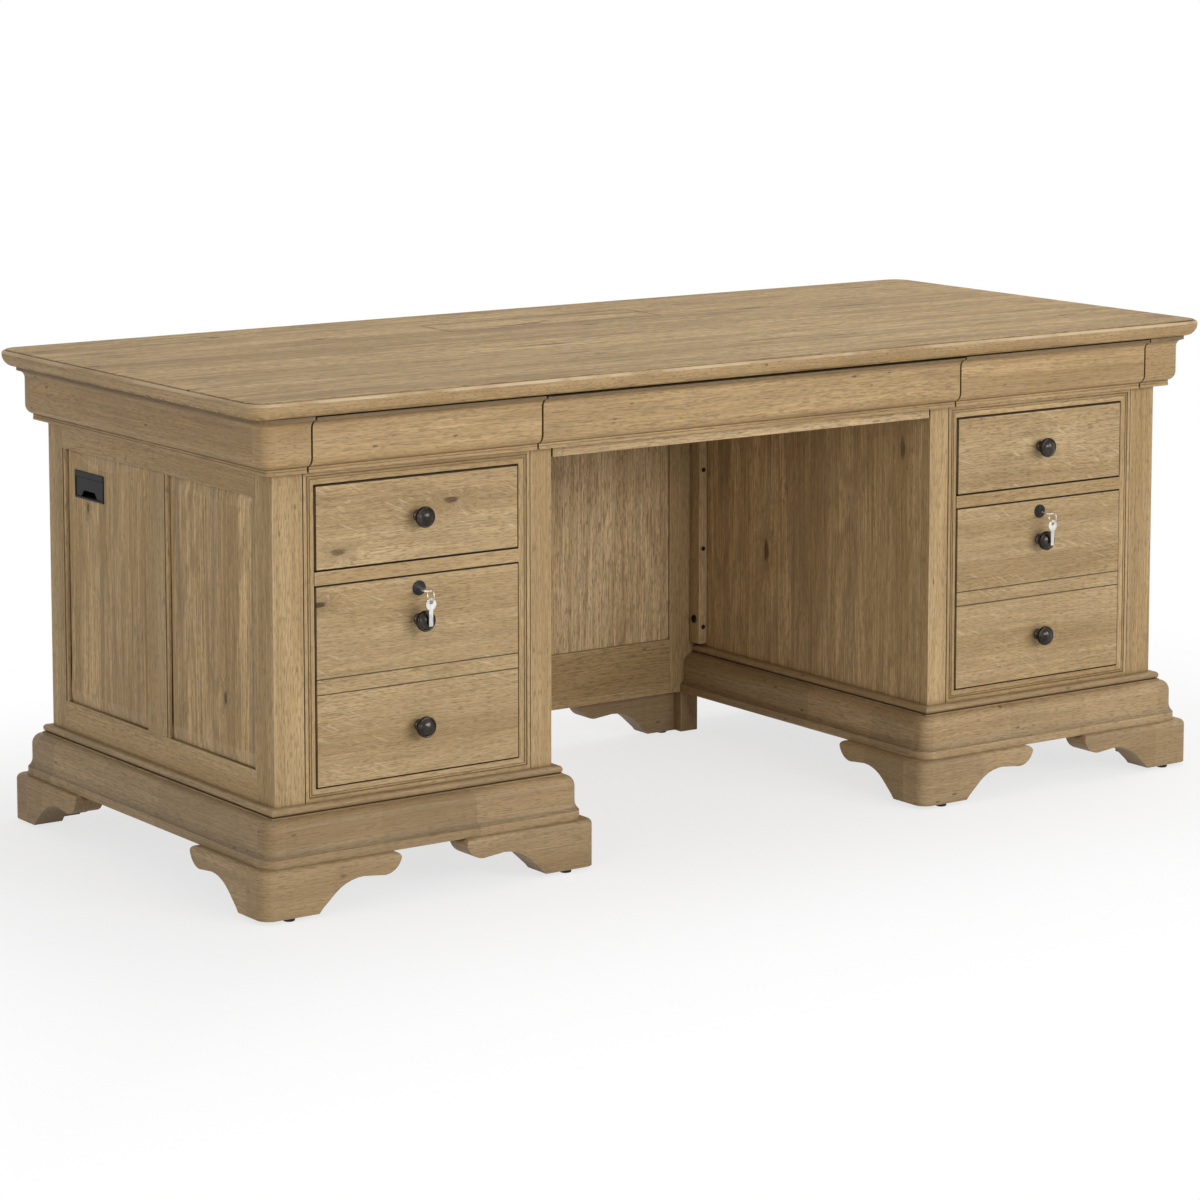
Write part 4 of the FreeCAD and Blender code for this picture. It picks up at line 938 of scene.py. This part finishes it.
def make_slab(ring, nose, foot, top, hole):
    """The slab inside the lipping, with painted shade down the step to it and round the hatch."""
    inset = LIP_INSET + LIP_GAP
    section = nose + [(inset, foot), (inset, top - PANEL_EASE), (inset + PANEL_EASE, top)]
    board = bmesh.new()
    loops = skin(board, [ring(*point) for point in section])
    glazed = board.faces.layers.float.new("glazed")
    rim = plate(board, loops, *hole)
    for face in board.faces:
        is_step = top - 2 * LIP_DROP < face.calc_center_median().z < top - PANEL_EASE
        face[glazed] = 1.0 if is_step and abs(face.normal.z) < 0.5 else 0.0
    for face in rim:
        face[glazed] = RIM_SHADE_STRENGTH
    return board


def make_lipping(ring, nose, foot, top):
    """The lipping with its pale arris, painted as wear and highlight, and the grain place of each vertex,
    running round the top.
    """
    section = nose + arc((TOP_ARRIS, top - TOP_ARRIS), TOP_ARRIS, 180, 90, ARRIS_STEPS)
    section += [(LIP_INSET, top), (LIP_INSET, foot)]
    board = bmesh.new()
    rings = [ring(*point) for point in section]
    loops = skin(board, rings + rings[:1])
    worn = board.faces.layers.float.new("worn")
    for face in board.faces:
        heights = [vert.co.z for vert in face.verts]
        is_arris = min(heights) > top - TOP_ARRIS - SEAM and max(heights) > min(heights) + SEAM
        face[worn] = 1.0 if is_arris else 0.0
    girth = 0.0
    place_of = {}
    for i in range(len(rings[0])):
        if i:
            girth += (Vector(rings[0][i]) - Vector(rings[0][i - 1])).length
        depth = 0.0
        for j, loop in enumerate(loops):
            if j:
                depth += (loop[i].co - loops[j - 1][i].co).length
            place_of[loop[i]] = Vector((girth, depth, 0.0))
    return board, place_of


def make_top():
    low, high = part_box("desk_top")
    points = [point for faces in solids("desk_top") for face in faces for point in face]
    corner = min(p[X] for p in points if p[Y] < low.y + SEAM) - low.x
    trays = [extent(faces) for faces in solids("wire_tray")]
    hole = (
        Vector(min(tray[0][axis] for tray in trays) for axis in (X, Y)),
        Vector(max(tray[1][axis] for tray in trays) for axis in (X, Y)),
    )
    nose = [(TOP_NOSE - x, low.z + TOP_NOSE - z) for x, z in arc((0, 0), TOP_NOSE, 90, 0, NOSE_STEPS)]
    split = min(i for i, (inset, _) in enumerate(nose) if inset < LIP_INSET)
    foot = nose[split][1]

    def ring(inset, z):
        return rounded_ring(low, high, corner, inset, z)

    piece = Piece("desk_top_finished")
    piece.absorb(make_slab(ring, nose[:split], foot, high.z, hole), (X, Y, Z), Vector(), TOP_SEED)
    lipping, place_of = make_lipping(ring, nose[split:], foot, high.z - LIP_DROP)
    piece.absorb(lipping, place_of.get, Vector(), LIP_SEED)
    bmesh.ops.remove_doubles(piece.bm, verts=piece.bm.verts, dist=WELD)
    item = piece.place("desk_top")
    recolour(item, "frieze_oak", on_lipping(low, high, corner))

    lid = Piece("hatch_lid_finished")
    for faces in solids("hatch_lid"):
        # The lid's eased edges are painted shade, for a dark line round the hatch.
        lid.add_board(faces, X, HATCH_EASE, TOP_SEED, Vector(), mark=all_painted_shade)
    lid.place("hatch_lid")


# Section of the strips round the drawer openings: quirk, flat, bead between two grooves, sloped face.
STRIP_DEPTH = 14 * MM
STRIP_SECTION = [
    (0.00, -2.6), (0.05, -2.6), (0.07, 0.0), (0.33, 0.0), (0.36, -1.8), (0.41, -1.8), (0.43, -0.5),
    (0.48, 0.2), (0.53, -0.5), (0.55, -1.8), (0.60, -1.8), (0.63, -0.6), (0.97, -2.6), (1.00, -3.2),
]
# The lowest strip closes down on the plinth.
SOLE_SECTION = [(0.00, 0.0), (0.06, 0.0)] + STRIP_SECTION[3:]


def make_opening_mouldings():
    piece = Piece("opening_mouldings_finished")
    boxes = [extent(faces) for faces in solids("opening_mouldings")]
    front = min(low.y for low, _ in boxes)
    for _, sign in SIDES:
        mine = [(low, high) for low, high in boxes if (low.x + high.x) * sign > 0]
        upright = [pair for pair in mine if pair[1].z - pair[0].z > pair[1].x - pair[0].x]
        level = [pair for pair in mine if pair not in upright]
        x = sorted(value for low, high in upright for value in (low.x, high.x))
        z = sorted(value for low, high in level for value in (low.z, high.z))
        outer = [(x[0], z[0]), (x[3], z[0]), (x[3], z[3]), (x[0], z[3])]
        inner = [(x[1], z[1]), (x[2], z[1]), (x[2], z[2]), (x[1], z[2])]
        for i in range(4):
            j = (i + 1) % 4
            drawn = STRIP_SECTION if i else SOLE_SECTION
            section = [(0.0, -STRIP_DEPTH)] + [(t, h * MM) for t, h in drawn] + [(1.0, -STRIP_DEPTH)]
            edges = [[(p[0], front, p[1]) for p in (ring[i], ring[j])] for ring in (outer, inner)]
            board = strip(edges[0], edges[1], (0, -1, 0), section)
            axes = (X, Z, Y) if i % 2 == 0 else (Z, X, Y)
            piece.absorb(board, axes, Vector((x[0], front, z[0])))
    piece.place("opening_mouldings")


# Section of the upright beads on the pedestal sides: a half round between two quirks.
BEAD_TURNS = (0.5, 1.0, 1.57, 2.14, 2.64)
BEAD_SECTION = [(0.0, -4.0), (0.08, -4.0), (0.12, -1.6)]
BEAD_SECTION += [(0.5 - 0.38 * math.cos(a), -1.6 + 2.2 * math.sin(a)) for a in BEAD_TURNS]
BEAD_SECTION += [(0.88, -1.6), (0.92, -4.0), (1.0, -4.0)]


def make_side_beads():
    piece = Piece("side_beads_finished")
    for faces in solids("side_beads"):
        low, high = extent(faces)
        sign = 1 if low.x > 0 else -1
        face = high.x if sign > 0 else low.x
        back = low.x if sign > 0 else high.x
        depth = -abs(face - back)
        section = [(0.0, depth)] + [(t, h * MM) for t, h in BEAD_SECTION] + [(1.0, depth)]
        outer = [(face, low.y, z) for z in (low.z, high.z)]
        inner = [(face, high.y, z) for z in (low.z, high.z)]
        board = strip(outer, inner, (sign, 0, 0), section)
        piece.absorb(board, (Z, Y, X), low)
    piece.place("side_beads")


# Hardware. Turned sections are (radius, height): the knob's in millimetres, the others as shares.

KNOB_SECTION = [
    (9.0, 0.0), (9.0, 1.5), (8.0, 2.5), (6.6, 4.0), (6.0, 6.5), (6.3, 9.0), (8.4, 11.4), (12.4, 13.2),
    (14.9, 14.8), (15.8, 16.4), (16.0, 18.0), (16.0, 20.4), (15.6, 21.7), (14.6, 22.5), (13.8, 22.5),
    (13.3, 22.2), (12.7, 22.6), (11.6, 23.9), (9.4, 25.5), (6.4, 26.9), (3.2, 27.7), (0.6, 28.0),
]
HEAD_SECTION = [
    (1.0, 0.0), (1.0, 0.35), (0.93, 0.62), (0.78, 0.82), (0.55, 0.95), (0.36, 1.0), (0.32, 0.95),
    (0.28, 0.35), (0.05, 0.3),
]
GLIDE_SECTION = [(0.80, 0.0), (0.94, 0.10), (1.0, 0.35), (1.0, 1.0)]
TURNED_SHARP = math.radians(40)
LOCK_EASE = 0.25 * MM
PLUG_PROUD = 0.6 * MM


def make_turned(node, section, scale_of, axis_of):
    """Replaces each solid of a node by a turned piece on the same axis."""
    piece = Piece(f"{node}_finished")
    for faces in solids(node):
        low, high = extent(faces)
        axis, base = axis_of(low, high)
        width, depth = scale_of(low, high)
        profile = [(radius * width, along * depth) for radius, along in section]
        piece.absorb(lathe(profile, base, axis), (X, Y, Z), Vector())
    piece.place(node, TURNED_SHARP)


def facing_front(low, high):
    middle = (low + high) / 2
    return Vector((0, -1, 0)), Vector((middle.x, high.y, middle.z))


def facing_thin_way(low, high):
    """Axis out of the face that carries a fastener: to the front, or to the middle of the kneehole."""
    middle = (low + high) / 2
    size = high - low
    if size.y < size.x:
        return facing_front(low, high)
    sign = 1 if middle.x < 0 else -1
    start = low.x if sign > 0 else high.x
    return Vector((sign, 0, 0)), Vector((start, middle.y, middle.z))


def facing_up(low, high):
    middle = (low + high) / 2
    return Vector((0, 0, 1)), Vector((middle.x, middle.y, low.z))


def recolour(item, slot, picks):
    """Gives the faces that the test picks the finish of another slot."""
    item.data.materials.append(MATERIALS[slot])
    for polygon in item.data.polygons:
        if picks(polygon.center):
            polygon.material_index = 1


def make_hardware():
    for side, _ in SIDES:
        for name in ("box_knob", "file_knobs"):
            make_turned(f"{side}_{name}", KNOB_SECTION, lambda low, high: (MM, MM), facing_front)
        plug_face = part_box(f"{side}_lock_cylinder")[0].y
        for name in ("lock_cylinder", "lock_key", "key_ring"):
            node = f"{side}_{name}"
            piece = Piece(f"{node}_finished")
            for faces in solids(node):
                piece.add_board(faces, None, LOCK_EASE)
            item = piece.place(node)
            if name == "lock_key":
                recolour(item, "lock_black", lambda centre: centre.y > plug_face - PLUG_PROUD)
    make_turned(
        "cleat_fasteners", HEAD_SECTION,
        lambda low, high: ((high.z - low.z) / 2, min(high - low)), facing_thin_way,
    )
    make_turned(
        "foot_glides", GLIDE_SECTION,
        lambda low, high: ((high.x - low.x) / 2, high.z - low.z), facing_up,
    )


# Stage: white floor and backdrop, soft lights and the camera.

CAMERA_PLACE = (-3.70670, -5.22574, 1.52269)
CAMERA_YAW = 0.61277
CAMERA_TILT = 0.12584
CAMERA_LENS = 118.85
CAMERA_SENSOR = 36.0
CAMERA_SHIFT = (-0.0017, -0.197)
FLOOR_REACH = 30.0
FLOOR_COLOUR = rgb(0.86, 0.86, 0.86)
FLOOR_ROUGHNESS = 0.9
SHADOW_REACH = 0.9
WHITE_NEAR = 0.72
WHITE = rgb(1, 1, 1)
WORLD_LEVEL = 0.40
LIGHTS = [
    # name, place, target, width, height, watts
    ("key", (3.2, -6.4, 2.9), (0.1, -0.2, 0.4), 2.6, 2.6, 118.0),
    ("front", (0.2, -4.0, 1.6), (0.0, -0.3, 0.45), 2.0, 1.0, 44.0),
    ("fill", (-4.6, -2.4, 1.4), (-0.4, 0.0, 0.4), 2.6, 2.0, 37.0),
    ("top", (1.8, 0.4, 4.2), (0.4, 0.0, 0.7), 3.0, 3.0, 60.0),
]


def make_camera():
    data = bpy.data.cameras.new("photo_view")
    data.sensor_width = CAMERA_SENSOR
    data.lens = CAMERA_LENS
    data.shift_x, data.shift_y = CAMERA_SHIFT
    camera = bpy.data.objects.new("photo_view", data)
    camera.location = CAMERA_PLACE
    camera.rotation_euler = (math.pi / 2 - CAMERA_TILT, 0, -CAMERA_YAW)
    bpy.context.scene.collection.objects.link(camera)
    bpy.context.scene.camera = camera


def make_floor():
    """A pale floor that shows white, with a soft shadow of the desk near it."""
    mesh = bpy.data.meshes.new("floor")
    board = bmesh.new()
    bmesh.ops.create_grid(board, x_segments=1, y_segments=1, size=FLOOR_REACH)
    board.to_mesh(mesh)
    board.free()
    floor = bpy.data.objects.new("floor", mesh)
    bpy.context.scene.collection.objects.link(floor)
    g = Graph("floor_white")
    g.finish(colour=FLOOR_COLOUR, roughness=FLOOR_ROUGHNESS)
    glow = g.add("Emission", {"Color": WHITE, "Strength": 1.0})
    light_path = g.tree.nodes.new("ShaderNodeLightPath")
    seen = g.math("MAXIMUM", light_path.outputs["Is Camera Ray"], light_path.outputs["Is Glossy Ray"])
    seen = g.math("MAXIMUM", seen, light_path.outputs["Is Transmission Ray"])
    x, y, _ = g.split(g.add("TexCoord", {}, "Object"))
    high = CAD_BOX[1]
    aside, ahead = (
        g.minus(g.math("ABSOLUTE", place), edge) for place, edge in ((x, high[X]), (y, high[Y]))
    )
    fade = {
        "Value": g.math("MAXIMUM", aside, ahead), "From Min": 0.0, "From Max": SHADOW_REACH,
        "To Min": WHITE_NEAR, "To Max": 1.0,
    }
    white = g.add("MapRange", fade, interpolation_type="SMOOTHSTEP")
    mixed = g.add("MixShader", {0: g.times(seen, white), 1: g.shader.outputs[0], 2: glow})
    output = next(item for item in g.tree.nodes if item.type == "OUTPUT_MATERIAL")
    g.tree.links.new(mixed, output.inputs["Surface"])
    mesh.materials.append(g.material)


def make_world():
    """Even light from all round, which shows as plain white."""
    world = bpy.data.worlds.new("studio")
    world.use_nodes = True
    tree = world.node_tree
    background = tree.nodes["Background"]
    light_path = tree.nodes.new("ShaderNodeLightPath")
    strength = tree.nodes.new("ShaderNodeMapRange")
    strength.inputs["To Min"].default_value = WORLD_LEVEL
    strength.inputs["To Max"].default_value = 1.0
    seen = light_path.outputs["Is Camera Ray"]
    for ray in ("Is Glossy Ray", "Is Transmission Ray"):
        either = tree.nodes.new("ShaderNodeMath")
        either.operation = "MAXIMUM"
        tree.links.new(seen, either.inputs[0])
        tree.links.new(light_path.outputs[ray], either.inputs[1])
        seen = either.outputs[0]
    tree.links.new(seen, strength.inputs["Value"])
    tree.links.new(strength.outputs[0], background.inputs["Strength"])
    background.inputs["Color"].default_value = WHITE
    bpy.context.scene.world = world


def make_lights():
    for name, place, target, width, height, watts in LIGHTS:
        data = bpy.data.lights.new(name, "AREA")
        data.shape = "ELLIPSE"
        data.size = width
        data.size_y = height
        data.energy = watts
        lamp = bpy.data.objects.new(name, data)
        lamp.location = place
        lamp.rotation_euler = (Vector(target) - Vector(place)).to_track_quat("-Z", "Y").to_euler()
        bpy.context.scene.collection.objects.link(lamp)


make_boards()
make_top()
make_opening_mouldings()
make_side_beads()
make_hardware()
make_floor()
make_world()
make_lights()
make_camera()
bpy.context.scene.view_settings.view_transform = "Standard"
